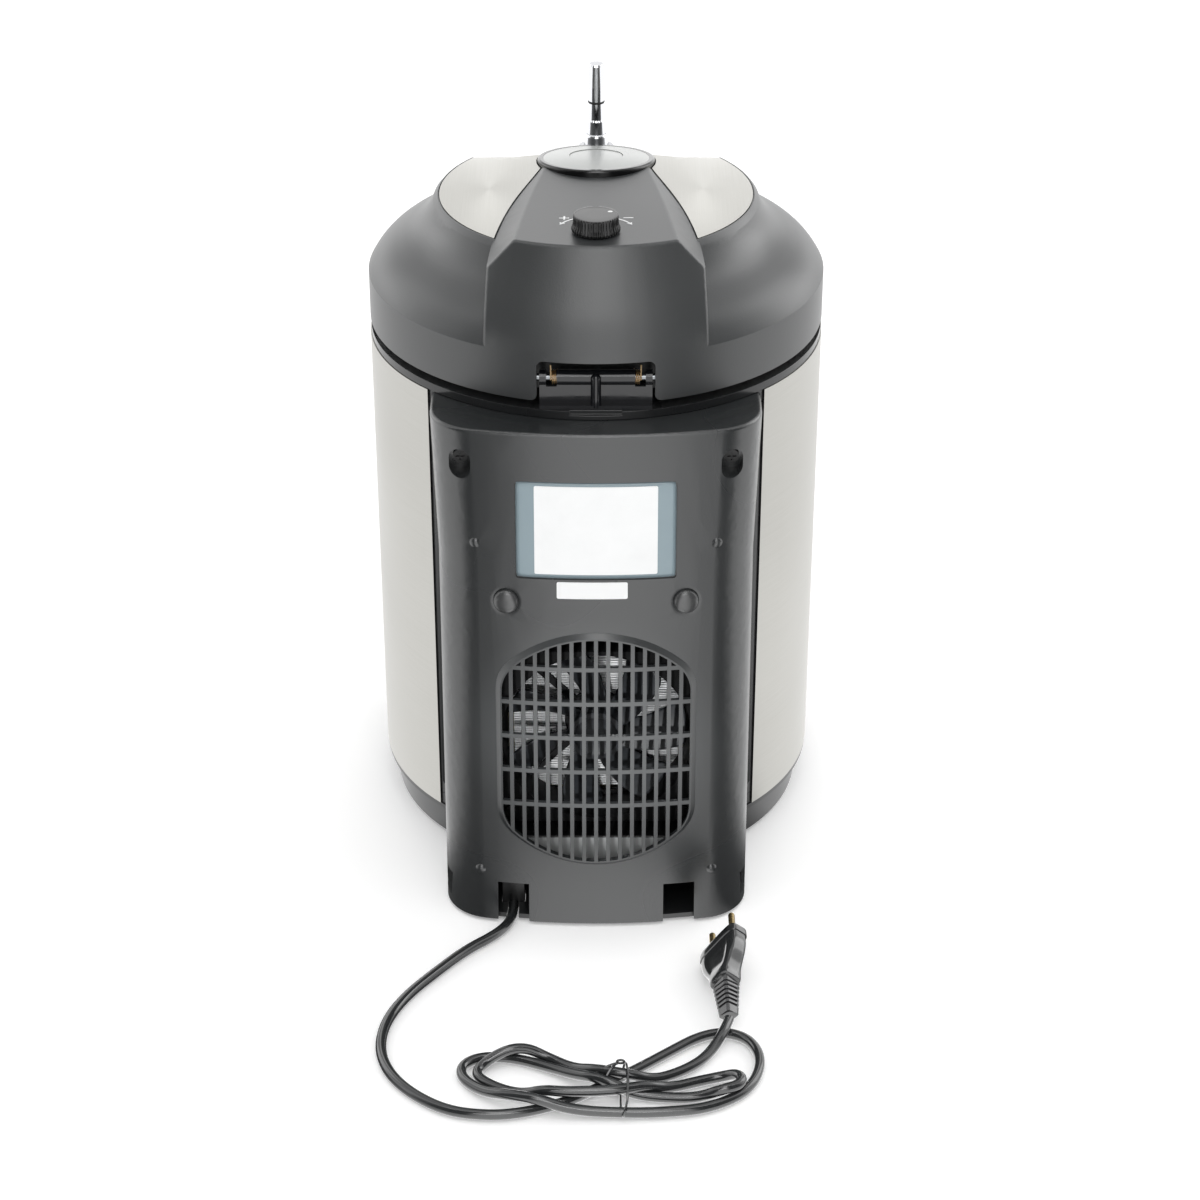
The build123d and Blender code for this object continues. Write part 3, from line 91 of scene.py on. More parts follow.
# ---------------------------------------------------------------- finishes
# Pattern sizes in millimetres: the slow change of gloss in a moulding and in sheet, zinc spangles and
# the floor's paper.
FLOW_MM, SHEET_MM, SPANGLE_MM, PAPER_MM = 111.1, 142.9, 8.33, 250.0


def noise(tree, where, size_mm, detail, roughness=0.5):
    """Noise whose largest patches are about size_mm across."""
    return add_node(tree, "TexNoise", inputs={
        "Vector": where, "Scale": 1000 / size_mm, "Detail": detail, "Roughness": roughness}).outputs["Fac"]


def remap(tree, value, low, high, to_low=0.0, to_high=1.0, smooth=False):
    """Runs from to_low to to_high while the value runs from low to high, and no further than that."""
    return add_node(tree, "MapRange", {"interpolation_type": "SMOOTHSTEP" if smooth else "LINEAR"}, {
        "Value": value, "From Min": low, "From Max": high, "To Min": to_low, "To Max": to_high}).outputs[0]


def calculate(tree, operation, one, two):
    """Result of a mathematical operation on two values."""
    return add_node(tree, "Math", {"operation": operation}, {0: one, 1: two}).outputs[0]


def two_tones(tree, amount, dark, light):
    """Mix of two sRGB hex colours."""
    return add_node(tree, "Mix", {"data_type": "RGBA"}, {
        0: amount, 6: linear(dark), 7: linear(light)}).outputs[2]


def bumps(tree, height, depth_mm):
    """Normals of a relief depth_mm deep."""
    return add_node(tree, "Bump", inputs={"Height": height, "Distance": depth_mm * MM}).outputs[0]


def surface(made, inputs):
    """The material with a principled shader of these inputs as its surface."""
    shader = add_node(made.node_tree, "BsdfPrincipled", inputs=inputs)
    add_node(made.node_tree, "OutputMaterial", inputs={"Surface": shader.outputs[0]})
    return made


def moulded_plastic(name, light, dark, rough_low, rough_high, grain_mm, grain_depth, ior=1.55):
    """Injection-moulded plastic from a spark-eroded tool: an even fine grain that breaks up the light
    into sparkle, with a slow change of gloss where the melt flowed and hands have been. The tool's
    own grain, about 0.1 mm across, is too fine to show, so it is drawn coarser."""
    made, tree = blank(name)
    where = add_node(tree, "TexCoord").outputs["Object"]
    clouds = noise(tree, where, FLOW_MM, 0.0)
    grain = noise(tree, where, grain_mm, 2.0, 0.6)
    tone = remap(tree, clouds, 0.2, 0.8, smooth=True)
    colour = two_tones(tree, tone, dark, light)
    gloss = remap(tree, clouds, 0.2, 0.8, rough_low, rough_high, smooth=True)
    return surface(made, {
        "Base Color": colour, "Roughness": gloss, "Normal": bumps(tree, grain, grain_depth), "IOR": ior})


def brushed_metal(name, light, dark, roughness, length_mm, width_mm, depth=0.006, anisotropic=0.5):
    """Sheet brushed along its UV map's u with an abrasive belt: long fine scratches spread the light
    across them. The belt's own scratches, under 0.1 mm wide, are too fine to show and drawn wider."""
    made, tree = blank(name)
    texture = add_node(tree, "TexCoord")
    along = add_node(tree, "Mapping", inputs={
        "Vector": texture.outputs["UV"], "Scale": (1000 / length_mm, 1000 / width_mm, 1)}).outputs[0]
    scratch = add_node(tree, "TexNoise", inputs={
        "Vector": along, "Scale": 1.0, "Detail": 6.0, "Roughness": 0.7}).outputs["Fac"]
    clouds = noise(tree, texture.outputs["Object"], SHEET_MM, 2.0)
    tone = remap(tree, scratch, 0.3, 0.7)
    colour = two_tones(tree, tone, dark, light)
    gloss = remap(tree, clouds, 0.3, 0.7, roughness - 0.03, roughness + 0.05)
    return surface(made, {
        "Base Color": colour, "Metallic": 1.0, "Roughness": gloss, "Anisotropic": anisotropic,
        "Normal": bumps(tree, scratch, depth)})


def polished(name, light, dark, roughness, metallic, smear, smear_mm):
    """A smooth polished face, with faint handling smears in its gloss and a trace of mottling."""
    made, tree = blank(name)
    where = add_node(tree, "TexCoord").outputs["Object"]
    clouds = noise(tree, where, smear_mm, 3.0, 0.6)
    colour = two_tones(tree, clouds, dark, light)
    gloss = remap(tree, clouds, 0.35, 0.75, roughness, roughness + smear)
    return surface(made, {"Base Color": colour, "Metallic": metallic, "Roughness": gloss})


def grained(name, light, dark, roughness, grain_mm, depth, metallic=0.0, specular=0.5):
    """A plain cast, foamed or rubbery surface with a fine relief and a slight mottling of its colour."""
    made, tree = blank(name)
    where = add_node(tree, "TexCoord").outputs["Object"]
    spots = noise(tree, where, grain_mm, 3.0, 0.6)
    tone = remap(tree, spots, 0.3, 0.7)
    colour = two_tones(tree, tone, dark, light)
    return surface(made, {
        "Base Color": colour, "Metallic": metallic, "Roughness": roughness, "Specular IOR Level": specular,
        "Normal": bumps(tree, spots, depth)})


def case_with_painted_shade_top(name, light, dark, film, top, roughness):
    """Zinc-plated steel case with large soft spangles in the zinc; above the given height it is
    painted near black, as painted shade for its upper side, which lies in shadow."""
    made, tree = blank(name)
    where = add_node(tree, "TexCoord").outputs["Object"]
    spangle = noise(tree, where, SPANGLE_MM, 2.0)
    zinc = two_tones(tree, spangle, dark, light)
    height = add_node(tree, "SeparateXYZ", inputs={0: where}).outputs["Z"]
    # Painted shade: above the given height the case takes the near-black colour, standing in for the shadow
    # on its top.
    painted_shade_mask = calculate(tree, "GREATER_THAN", height, top * MM)
    colour = add_node(tree, "Mix", {"data_type": "RGBA"}, {
        0: painted_shade_mask, 6: zinc, 7: linear(film)}).outputs[2]
    gloss = remap(tree, spangle, 0.3, 0.7, roughness, roughness + 0.1)
    return surface(made, {"Base Color": colour, "Roughness": gloss})


FINISH = {
    # Deep grain: soft in its shine, with a fine sparkle.
    "lid_plastic": moulded_plastic(
        "charcoal spark-eroded ABS", "#303233", "#2a2c2d", 0.34, 0.40, 1.2, 0.045, 1.7),
    # Shallow grain: satin, with soft reflections of the room.
    "cover_plastic": moulded_plastic(
        "dark grey satin ABS", "#2d2f30", "#27292a", 0.22, 0.32, 1.2, 0.025, 1.7),
    # Waxy and nearly smooth, darker than ABS.
    "black_plastic": moulded_plastic(
        "black moulded polypropylene", "#232425", "#1d1e1f", 0.28, 0.38, 0.8, 0.01, 1.6),
    # Mirror-like black that shows lamps sharply.
    "gloss_black": polished("piano black ABS", "#0a0a0b", "#070708", 0.09, 0.0, 0.07, 16.67),
    # Warm grey with a sheen drawn out across the scratches.
    "steel": brushed_metal("brushed stainless sheet", "#b5b4b0", "#adaca7", 0.36, 55.56, 0.3846),
    # Even silver grey under a clear shine.
    "disc_silver": polished("pearl grey moulded acrylic", "#a3a5a3", "#9c9e9c", 0.22, 0.0, 0.08, 40.0),
    # Bright mirror with dark lines where the room is dark.
    "chrome": polished("chromed brass", "#dcdde0", "#d3d4d8", 0.05, 1.0, 0.05, 16.67),
    # Pale and silky, drawn along the die.
    "aluminium": grained("extruded aluminium", "#eff0f1", "#dfe1e2", 0.32, 1.429, 0.004, 0.8),
    # Yellow zinc passivate: straw-gold wire.
    "spring_wire": polished("zinc-passivated spring wire", "#f0d6ac", "#d9b684", 0.3, 1.0, 0.12, 1.111),
    # Dull blue-grey zinc with large soft spangles, near black above its top edge as painted shade.
    "sheet_metal": case_with_painted_shade_top(
        "zinc-plated case with painted shade on top", "#b4b6b6", "#a4a7a7", "#08090a", PSU_TOP - 1.1, 0.4),
    # Matt black, slightly dusty.
    "rubber": grained("moulded black rubber", "#1d1d1e", "#161617", 0.62, 1.111, 0.03),
    # Cream and open-pored.
    "foam": grained("cream polyurethane foam", "#e6dfc2", "#d8cfae", 0.85, 2.0, 0.3),
    # Chalky white tile.
    "ceramic": grained("fired alumina", "#f0efe9", "#e4e3dc", 0.5, 2.5, 0.01),
    # Green lacquer with a slight shine.
    "circuit": grained("solder-masked laminate", "#1c5b34", "#174c2b", 0.35, 3.333, 0.02),
    # Nearly black and glassy.
    "display": polished("smoked acrylic", "#0c0d11", "#090a0d", 0.05, 0.0, 0.04, 16.67),
    # Clean white film with a low shine.
    "label": grained("bare polyester label film", "#fbfcfc", "#f6f7f7", 0.3, 16.67, 0.004),
    # White and satin, like a refrigerator's liner.
    "tray_liner": moulded_plastic(
        "white moulded polystyrene", "#e8e9e8", "#dededc", 0.32, 0.42, 0.9, 0.01),
    # Soft black with a wet-looking line of light along it.
    "lead_pvc": grained("satin black PVC", "#2a2c2d", "#202122", 0.13, 1.429, 0.003, 0.0, 0.95),
}
# Blackened screws deep in their holes, drawn near black as painted shade for the dark holes round them.
SCREW_WITH_PAINTED_SHADE = polished("blackened steel screw with painted shade", "#0b0b0c", "#070708", 0.4, 0.0, 0.1, 3.333)
# Opaque white ink, a little chalky.
PRINT = grained("white pad-printing ink", "#e9eaea", "#dfe0e0", 0.45, 1.25, 0.004)
# Polished floor of the recess; its pale blue-grey colour is a painted reflection of the room on the dark
# cover plastic.
RECESS_PAINTED_REFLECTION = polished("polished recess with painted reflection", "#92a3a9", "#8697a0", 0.12, 0.0, 0.06, 40.0)
# Black sleeve with a satin shine.
SLEEVE = polished("black nylon pin sleeve", "#141415", "#0f0f10", 0.25, 0.0, 0.1, 5.0)
# Blades that show as soft grey planes where a lamp reaches them.
FAN_BLACK = grained("satin black nylon blades", "#232528", "#1b1d1f", 0.5, 2.5, 0.006, 0.0, 0.25)
# Matt and fibrous, nearly without shine.
FAN_HOUSING = grained("matt glass-filled nylon", "#0a0b0c", "#070708", 0.7, 2.0, 0.01, 0.0, 0.15)
# Black nylon drawn deep black, partly as painted shade for the cut-out it sits in, with small highlights on
# its edges.
CLAMP_WITH_PAINTED_SHADE = polished("black nylon cord clamp with painted shade", "#0c0d0e", "#09090a", 0.25, 0.0, 0.12, 11.11)
# Grey drawn steel, polished by its turning.
PIN_STEEL = polished("plain steel hinge pin", "#8d9092", "#7a7d80", 0.22, 1.0, 0.1, 3.333)
# Dull gold where brass shows through thin nickel.
PIN_METAL = polished("nickel-plated brass", "#a8966c", "#857350", 0.25, 1.0, 0.15, 3.333)
# Dark and glassy, with crisp lines of light.
SMOKED = polished("smoke black acetal hinge", "#1a1b1e", "#121316", 0.06, 0.0, 0.1, 6.25)
# Rubber from a polished tool: a broad bright spot on each dome.
BUMPER = grained("black rubber with a shine", "#3a3b3c", "#323333", 0.32, 2.0, 0.003, 0.0, 1.0)
# Black from a polished tool, so its rims catch thin lines of light.
COLLAR = polished("glossy black collar", "#242526", "#1c1d1e", 0.16, 0.0, 0.1, 16.67)


# ---------------------------------------------------------------- mesh helpers
def mesh_piece(name, body, slot, points, faces, finish=None):
    """A piece from an array of points in millimetres and one of faces."""
    mesh = bpy.data.meshes.new(name)
    mesh.from_pydata((np.asarray(points, float).reshape(-1, 3) * MM).tolist(), [], np.asarray(faces).tolist())
    piece = bpy.data.objects.new(name, mesh)
    bpy.context.scene.collection.objects.link(piece)
    mesh.materials.append(finish or FINISH[slot])
    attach(piece, body)
    return piece


def circle(count):
    """Angles of evenly spaced points round a circle."""
    return np.linspace(0, 2 * np.pi, count, endpoint=False)


def signed_power(value, power):
    """The value's size to the power, with the value's sign."""
    return np.sign(value) * np.abs(value) ** power


def grid_faces(rows, columns, round_rows=False, round_columns=False):
    """Quads of a grid of points; a round direction joins its last line to its first."""
    i = np.arange(rows if round_rows else rows - 1)[:, None]
    j = np.arange(columns if round_columns else columns - 1)[None, :]
    a = i * columns + j
    b = i * columns + (j + 1) % columns
    c = (i + 1) % rows * columns + (j + 1) % columns
    d = (i + 1) % rows * columns + j
    return np.stack([a, b, c, d], axis=-1).reshape(-1, 4)


def join(parts):
    """One array of points and one of faces out of several pairs of them."""
    points = [part[0].reshape(-1, 3) for part in parts]
    starts = np.cumsum([0] + [len(part) for part in points])
    return np.concatenate(points), np.concatenate([part[1] + start for part, start in zip(parts, starts)])


def tidy_mesh(piece, angle=35.0, closed=True):
    """Merges doubles, closes open ends, turns faces outwards and shades smooth up to the angle."""
    work = bmesh.new()
    work.from_mesh(piece.data)
    bmesh.ops.remove_doubles(work, verts=work.verts, dist=1e-6)
    if closed:
        bmesh.ops.holes_fill(work, edges=[e for e in work.edges if e.is_boundary], sides=0)
    bmesh.ops.recalc_face_normals(work, faces=work.faces)
    limit = math.radians(angle)
    for edge in work.edges:
        edge.smooth = edge.is_boundary or edge.calc_face_angle(math.pi) < limit
    for face in work.faces:
        face.smooth = True
    work.to_mesh(piece.data)
    work.free()
    return piece


def thicken(piece, name, wall, offset=-1.0):
    """Gives a sheet its wall in millimetres: -1 sets it behind the sheet, 0 on both sides, 1 in front."""
    modifier = piece.modifiers.new(name, "SOLIDIFY")
    modifier.thickness = wall * MM
    modifier.offset = offset


def tube(path, radius, sides=10, closed=False):
    """Points and faces of a round tube: a circle is carried along the path in the plane across it.
    Its first axis is the path's direction crossed with a steady vector, its second is square to both."""
    path = np.asarray(path, float)
    ahead = np.roll(path, -1, axis=0) - np.roll(path, 1, axis=0)
    if not closed:
        ahead[0], ahead[-1] = path[1] - path[0], path[-1] - path[-2]
    ahead /= np.linalg.norm(ahead, axis=1)[:, None]
    steady = np.eye(3)[np.argmin(np.abs(ahead).max(axis=0))]
    one = np.cross(ahead, steady)
    one /= np.linalg.norm(one, axis=1)[:, None]
    two = np.cross(ahead, one)
    turn = circle(sides)
    ring = np.cos(turn)[None, :, None] * one[:, None] + np.sin(turn)[None, :, None] * two[:, None]
    points = path[:, None] + radius * ring
    return points.reshape(-1, 3), grid_faces(len(path), sides, round_rows=closed, round_columns=True)


def flat_uv(mesh, where):
    """Sets the UV map from a function of the points in millimetres; it gives millimetres along u and v."""
    points = np.empty(len(mesh.vertices) * 3)
    mesh.vertices.foreach_get("co", points)
    points = points.reshape(-1, 3) / MM
    corners = np.empty(len(mesh.loops), int)
    mesh.loops.foreach_get("vertex_index", corners)
    layer = mesh.uv_layers.new(name="brushing")
    layer.data.foreach_set("uv", (where(points)[corners] * MM).ravel())


def around_barrel(p):
    """Brushing round the barrel: u is the arc at its radius, v the height."""
    return np.stack([np.arctan2(p[:, 0], -p[:, 1]) * SKIN_R, p[:, 2]], axis=1)


def in_plan(p):
    """Brushing from front to back: u runs along Y, v along X."""
    return np.stack([p[:, 1], p[:, 0]], axis=1)


def dress(name, angle=32.0, bevel=0.0, uv=None, finish=None):
    """Replaces a CAD node by a merged copy of it that is shaded smooth, with its small edges broken."""
    source = nodes[name]
    piece = bpy.data.objects.new(name + ".dressed", source.data.copy())
    bpy.context.scene.collection.objects.link(piece)
    row = next(r for r in frame["record"]["subparts"] if r["node"] == name)
    slot = row["material_slot"]
    piece.data.materials.clear()
    piece.data.materials.append(finish or FINISH[slot])
    work = bmesh.new()
    work.from_mesh(piece.data)
    bmesh.ops.remove_doubles(work, verts=work.verts, dist=2e-6)
    limit = math.radians(angle)
    for edge in work.edges:
        edge.smooth = len(edge.link_faces) == 2 and edge.calc_face_angle(math.pi) < limit
    for face in work.faces:
        face.smooth = True
    bmesh.ops.dissolve_limit(work, angle_limit=math.radians(0.5), verts=work.verts, edges=work.edges,
                             delimit={"SHARP"})
    work.to_mesh(piece.data)
    work.free()
    if uv:
        flat_uv(piece.data, uv)
    if bevel:
        modifier = piece.modifiers.new("broken edges", "BEVEL")
        modifier.width = bevel * MM
        modifier.segments = 2
        modifier.limit_method = "ANGLE"
        modifier.angle_limit = math.radians(40)
        modifier.harden_normals = True
        modifier.use_clamp_overlap = True
    steady = piece.modifiers.new("flat faces stay flat", "WEIGHTED_NORMAL")
    steady.keep_sharp = True
    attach(piece, next(b for b, names in frame["record"]["behaviour"]["bodies"].items() if name in names))
    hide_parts(name)
    return piece


# ---------------------------------------------------------------- camera, stage and light
EYE, EYE_DOWN, LENS = (-0.00235, 1.6348, 1.05166), 0.5167, 86.8


def camera():
    """Camera behind the appliance and above it; it looks down by EYE_DOWN radians."""
    data = bpy.data.cameras.new("camera")
    data.sensor_width = 36
    data.lens = LENS
    data.clip_end = 30
    eye = bpy.data.objects.new("camera", data)
    eye.location = EYE
    eye.rotation_euler = (math.pi / 2 - EYE_DOWN, 0, math.pi)
    bpy.context.scene.collection.objects.link(eye)
    bpy.context.scene.camera = eye


# Strength of the plain white sky, of the studio as gloss sees it in the sky and in the floor, of the
# floor's own glow to the camera and of the backdrop; then each studio's brightness along its ramp,
# and the level direction in which the camera stands.
DIFFUSE_SKY, GLOSS_SKY, GLOSS_FLOOR, FLOOR_LIFT, BACKDROP = 0.78, 2.0, 2.0, 0.2, 0.55
TENT = [(0.0, 0.44), (0.30, 0.43), (0.46, 0.7), (0.53, 0.75), (0.60, 0.30), (0.72, 0.08), (0.95, 0.06),
        (0.985, 0.9), (1.0, 1.0)]
FLOOR_TENT = [(0.0, 0.7), (0.76, 0.75), (0.83, 0.3), (0.88, 0.08), (0.955, 0.06), (0.985, 0.9), (1.0, 1.0)]
TO_CAMERA = (-0.06, 0.998, 0)


def surround(tree, direction, steps):
    """Brightness of the studio by compass direction, as gloss sees it: the cosine of the angle from
    the camera's side runs a ramp from the white tent behind and beside, past the dark opening that
    the camera looks through, to one bright strip straight in front."""
    level = add_node(tree, "VectorMath", {"operation": "MULTIPLY"}, {0: direction, 1: (1, 1, 0)}).outputs[0]
    level = add_node(tree, "VectorMath", {"operation": "NORMALIZE"}, {0: level}).outputs[0]
    cosine = add_node(tree, "VectorMath", {"operation": "DOT_PRODUCT"}, {
        0: level, 1: TO_CAMERA}).outputs["Value"]
    ramp = add_node(tree, "ValToRGB", inputs={0: remap(tree, cosine, -1.0, 1.0)})
    elements = ramp.color_ramp.elements
    elements[0].position, elements[0].color = steps[0][0], (steps[0][1],) * 3 + (1,)
    elements[1].position, elements[1].color = steps[-1][0], (steps[-1][1],) * 3 + (1,)
    for position, value in steps[1:-1]:
        elements.new(position).color = (value, value, value, 1)
    return ramp.outputs[0]


def sky():
    """White background. Gloss sees the studio instead, where a backdrop behind the object adds a band
    of white up to a little above the horizon."""
    world = bpy.data.worlds.new("studio")
    bpy.context.scene.world = world
    world.use_nodes = True
    tree = world.node_tree
    tree.nodes.clear()
    path = add_node(tree, "LightPath").outputs
    plain = remap(tree, path["Is Camera Ray"], 0.0, 1.0, DIFFUSE_SKY, 1.0)
    gloss = calculate(tree, "MAXIMUM", path["Is Glossy Ray"], path["Is Transmission Ray"])
    direction = add_node(tree, "TexCoord").outputs["Generated"]
    room = surround(tree, direction, TENT)
    axes = add_node(tree, "SeparateXYZ", inputs={0: direction}).outputs
    low = remap(tree, axes["Z"], 0.1, 0.42, BACKDROP, 0.0, smooth=True)
    behind = remap(tree, axes["Y"], 0.0, -0.5)
    room = calculate(tree, "ADD", room, calculate(tree, "MULTIPLY", low, behind))
    room = calculate(tree, "MULTIPLY", room, GLOSS_SKY)
    strength = add_node(tree, "Mix", inputs={0: gloss, 2: plain, 3: room}).outputs[0]
    white = add_node(tree, "Background", inputs={"Color": linear("#ffffff"), "Strength": strength})
    add_node(tree, "OutputWorld", inputs={"Surface": white.outputs[0]})


def paper_floor():
    """White floor that keeps a soft shadow and glows a little to the camera. Gloss sees the studio
    mirrored in it."""
    made, tree = blank("white paper floor")
    path = add_node(tree, "LightPath").outputs
    where = add_node(tree, "TexCoord").outputs["Object"]
    grain = noise(tree, where, PAPER_MM, 2.0)
    paper = add_node(tree, "BsdfDiffuse", inputs={"Color": two_tones(tree, grain, "#f7f7f7", "#fbfbfb")})
    lift = remap(tree, path["Is Camera Ray"], 0.0, 1.0, 0.0, FLOOR_LIFT)
    glow = add_node(tree, "Emission", inputs={"Color": linear("#ffffff"), "Strength": lift})
    seen = add_node(tree, "AddShader", inputs={0: paper.outputs[0], 1: glow.outputs[0]})
    room = calculate(tree, "MULTIPLY", surround(tree, where, FLOOR_TENT), GLOSS_FLOOR)
    mirrored = add_node(tree, "Emission", inputs={"Color": linear("#ffffff"), "Strength": room})
    both = add_node(tree, "MixShader", inputs={
        0: path["Is Glossy Ray"], 1: seen.outputs[0], 2: mirrored.outputs[0]})
    add_node(tree, "OutputMaterial", inputs={"Surface": both.outputs[0]})
    mesh = bpy.data.meshes.new("floor")
    mesh.from_pydata([(-9, -9, 0), (9, -9, 0), (9, 9, 0), (-9, 9, 0)], [], [(0, 1, 2, 3)])
    floor = bpy.data.objects.new("floor", mesh)
    floor.location = (0, 0, -0.0005)
    bpy.context.scene.collection.objects.link(floor)
    mesh.materials.append(made)


def aim(place, target):
    """Rotation that points a lamp's minus Z from its place to its target, its X kept level."""
    x, y, z = np.array(target, float) - np.array(place, float)
    return math.atan2(math.hypot(x, y), -z), 0, math.atan2(-x, y)


def lamp(name, place, target, size, power):
    """A rectangular area lamp, its places and size in metres and its power in watts."""
    data = bpy.data.lights.new(name, "AREA")
    data.shape = "RECTANGLE"
    data.size, data.size_y = size
    data.energy = power
    made = bpy.data.objects.new(name, data)
    made.location = place
    made.rotation_euler = aim(place, target)
    bpy.context.scene.collection.objects.link(made)


def lights():
    """Softboxes round the appliance, three bars for lines of light on its gloss, and a narrow lamp
    that reaches the fan and the cooling fins through the grille."""
    lamp("strip over the camera", (-0.06, 0.95, 2.1), (0, 0.12, 0.3), (0.6, 2.0), 4.8)
    lamp("thin bar overhead", (0.0, 0.5, 2.3), (0, 0.12, 0.3), (2.4, 0.1), 3.5)
    lamp("bar above the camera", (0.0, 1.62, 1.42), (0, 0.13, 0.3), (1.0, 0.07), 2.6)
    lamp("left softbox", (1.9, -1.0, 1.3), (0, 0, 0.3), (1.2, 1.6), 7)
    lamp("right softbox", (-1.9, -0.9, 1.3), (0, 0, 0.3), (1.2, 1.6), 14)
    lamp("back softbox", (0.0, -2.2, 1.75), (0, 0, 0.35), (2.2, 1.0), 7)
    small = bpy.data.lights.new("low snooted lamp", "SPOT")
    small.energy = 170.0
    small.spot_size = math.radians(4.7)
    small.spot_blend = 0.3
    small.shadow_soft_size = 0.02
    made = bpy.data.objects.new("low snooted lamp", small)
    made.location = (0.283, 1.63, 0.72)
    made.rotation_euler = aim(made.location, (0, 0.165, 0.123))
    bpy.context.scene.collection.objects.link(made)


# ---------------------------------------------------------------- mains lead
CORD_R = 3.1
CORD_POINTS = [
    (51, 170.05, 3.3), (51, 181, 3.3), (54, 191.5, 3.2), (62, 203, 3.1), (79, 218, 3.1),
    (96, 240, 3.1), (113, 264, 3.1), (123, 288, 3.1), (125, 312, 3.1), (119, 333, 3.1),
    (107, 350, 3.1), (90, 364, 3.1), (73.5, 370.8, 3.1),
]
HANK_POINTS = [
    (48, 372, 3.1), (19, 362, 3.1), (-1, 348, 3.1), (-19, 335, 3.1), (-42, 316, 3.1), (-59, 302, 3.1),
    (-75, 297, 3.1), (-89, 304, 3.1), (-95, 321, 3.1), (-91, 341, 3.1), (-81, 355, 3.1), (-62, 366, 3.1),
    (-41, 369, 3.1), (-22, 370, 3.1), (13, 370, 4.8), (34, 366.5, 11), (51, 361.5, 9.6), (64, 353, 4.6),
    (76, 340, 3.1), (77, 328, 3.1), (66, 320, 3.1), (47, 321, 3.1), (27, 329.5, 3.2), (11, 340.5, 6.5),
    (1, 346, 9.6), (-10, 350.5, 7.9), (-23, 354.8, 3.2), (-48, 357.5, 3.2), (-60, 357, 4.4),
    (-71, 357.6, 9.8), (-80.5, 354, 9.8), (-83, 347.5, 9.6), (-79.5, 341.5, 8), (-72, 338.8, 4),
    (-58, 342.5, 3.3), (-42, 348.5, 3.3), (-28, 353, 9), (-14, 357.5, 9.6), (2, 359, 9.6), (18, 359, 9.4),
    (30, 357.5, 9.2), (42, 354.5, 3.8), (56, 348.5, 3.2), (68.5, 338, 3.2), (66, 328.4, 3.3),
    (53, 322.5, 9.4), (40, 319.5, 9.6), (27, 322, 3.6), (13, 331, 3.4), (1, 338.5, 9), (-10, 342, 9.8),
    (-20, 343.5, 9), (-33, 341.5, 3.6), (-46, 335.5, 3.3), (-59, 326, 3.4), (-68, 314, 4.6),
    (-74.5, 303, 9.4), (-77.3, 293, 9),
]


def mains_lead():
    """The lead's one smooth line, with the hank's turns as more of its own points."""
    curve = bpy.data.curves.new("mains_lead", "CURVE")
    curve.dimensions = "3D"
    curve.bevel_depth = CORD_R * MM
    curve.bevel_resolution = 5
    curve.resolution_u = 12
    curve.use_fill_caps = True
    route = CORD_POINTS + HANK_POINTS
    spline = curve.splines.new("NURBS")
    spline.points.add(len(route) - 1)
    for place, (x, y, z) in zip(spline.points, route):
        place.co = (x * MM, y * MM, z * MM, 1)
    spline.order_u = 3
    spline.use_endpoint_u = True
    curve.materials.append(FINISH["lead_pvc"])
    lead = bpy.data.objects.new("mains_lead", curve)
    bpy.context.scene.collection.objects.link(lead)
    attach(lead, "base")
    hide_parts("power_cord", "cord_hank")
    return lead


TIE_X, TIE_Y, TIE_Z = -16.0, 353.9, 6.9


def wire_tie():
    """Plastic-coated wire round the hank: an oval loop across it whose ends cross in a small eye,
    a circle that stands on the loop, and spread apart as two short curved tails."""
    turn = circle(72)
    cosine, sine = np.cos(turn), np.sin(turn)
    flat, long = signed_power(sine, 0.7), signed_power(cosine, 0.8)
    loop = np.stack([TIE_X - 2.0 * sine, TIE_Y + 21.0 * long, TIE_Z + 6.1 * flat], axis=1)
    eye = np.stack([TIE_X + 2 + 2.1 * cosine, 339.5 + 1.2 * sine, 15.1 + 2.1 * sine], axis=1)
    parts = [tube(loop, 0.75, 8, closed=True), tube(eye, 0.7, 8, closed=True)]
    run = np.linspace(0, 1, 16)
    for reach, side in ((15.0, 2.5), (8.5, 9.0)):
        tail = np.stack([TIE_X + 3.5 + reach * run, 340 + side * run ** 1.5, 14.4 - 7.5 * run ** 1.6], axis=1)
        parts.append(tube(tail, 0.7, 8))
    tie = mesh_piece("wire_tie", "base", "lead_pvc", *join(parts))
    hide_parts("twist_tie")
    return tidy_mesh(tie)


def plug_axes():
    """The plug's own directions: along the row of pins, across it, and from the lead to the pins."""
    along_pins = np.array([-math.cos(PLUG_ROLL), 0, math.sin(PLUG_ROLL)])
    forward = np.array([0, -1.0, 0])
    return along_pins, np.cross(forward, along_pins), forward


def sections(x, y, run, one, two, axis):
    """Points of sections across an axis from the plug's origin: x along one, y along two, run along it."""
    return np.array(PLUG_ORIGIN) + x[..., None] * one + y[..., None] * two + run[:, None, None] * axis


def pin_sleeves():
    """Black sleeves on the half of each plug pin next to the plug: a short tube with a rounded rim."""
    along = np.array([-0.2, 5.9, 6.7, 7.1, 7.1])
    radius = np.array([2.35, 2.35, 2.3, 2.1, 1.9])
    turn = circle(32)
    one, two, forward = plug_axes()
    ring = np.cos(turn)[:, None] * one + np.sin(turn)[:, None] * two
    parts = []
    for side in (-1, 1):
        start = np.array(PLUG_ORIGIN) + side * PIN_PITCH / 2 * one + PLUG_L * forward
        parts.append((start + along[:, None, None] * forward + radius[:, None, None] * ring,
                      grid_faces(len(along), len(turn), round_columns=True)))
    return tidy_mesh(mesh_piece("pin_sleeves", "base", "lead_pvc", *join(parts), finish=SLEEVE))


def rounded_section(half_x, half_y, power, columns):
    """A superellipse: half sizes times the signed cosine and sine, each to the power 2 over power."""
    turn = circle(columns)
    x = half_x[:, None] * signed_power(np.cos(turn), 2 / power)
    y = half_y[:, None] * signed_power(np.sin(turn), 2 / power)
    return x, y


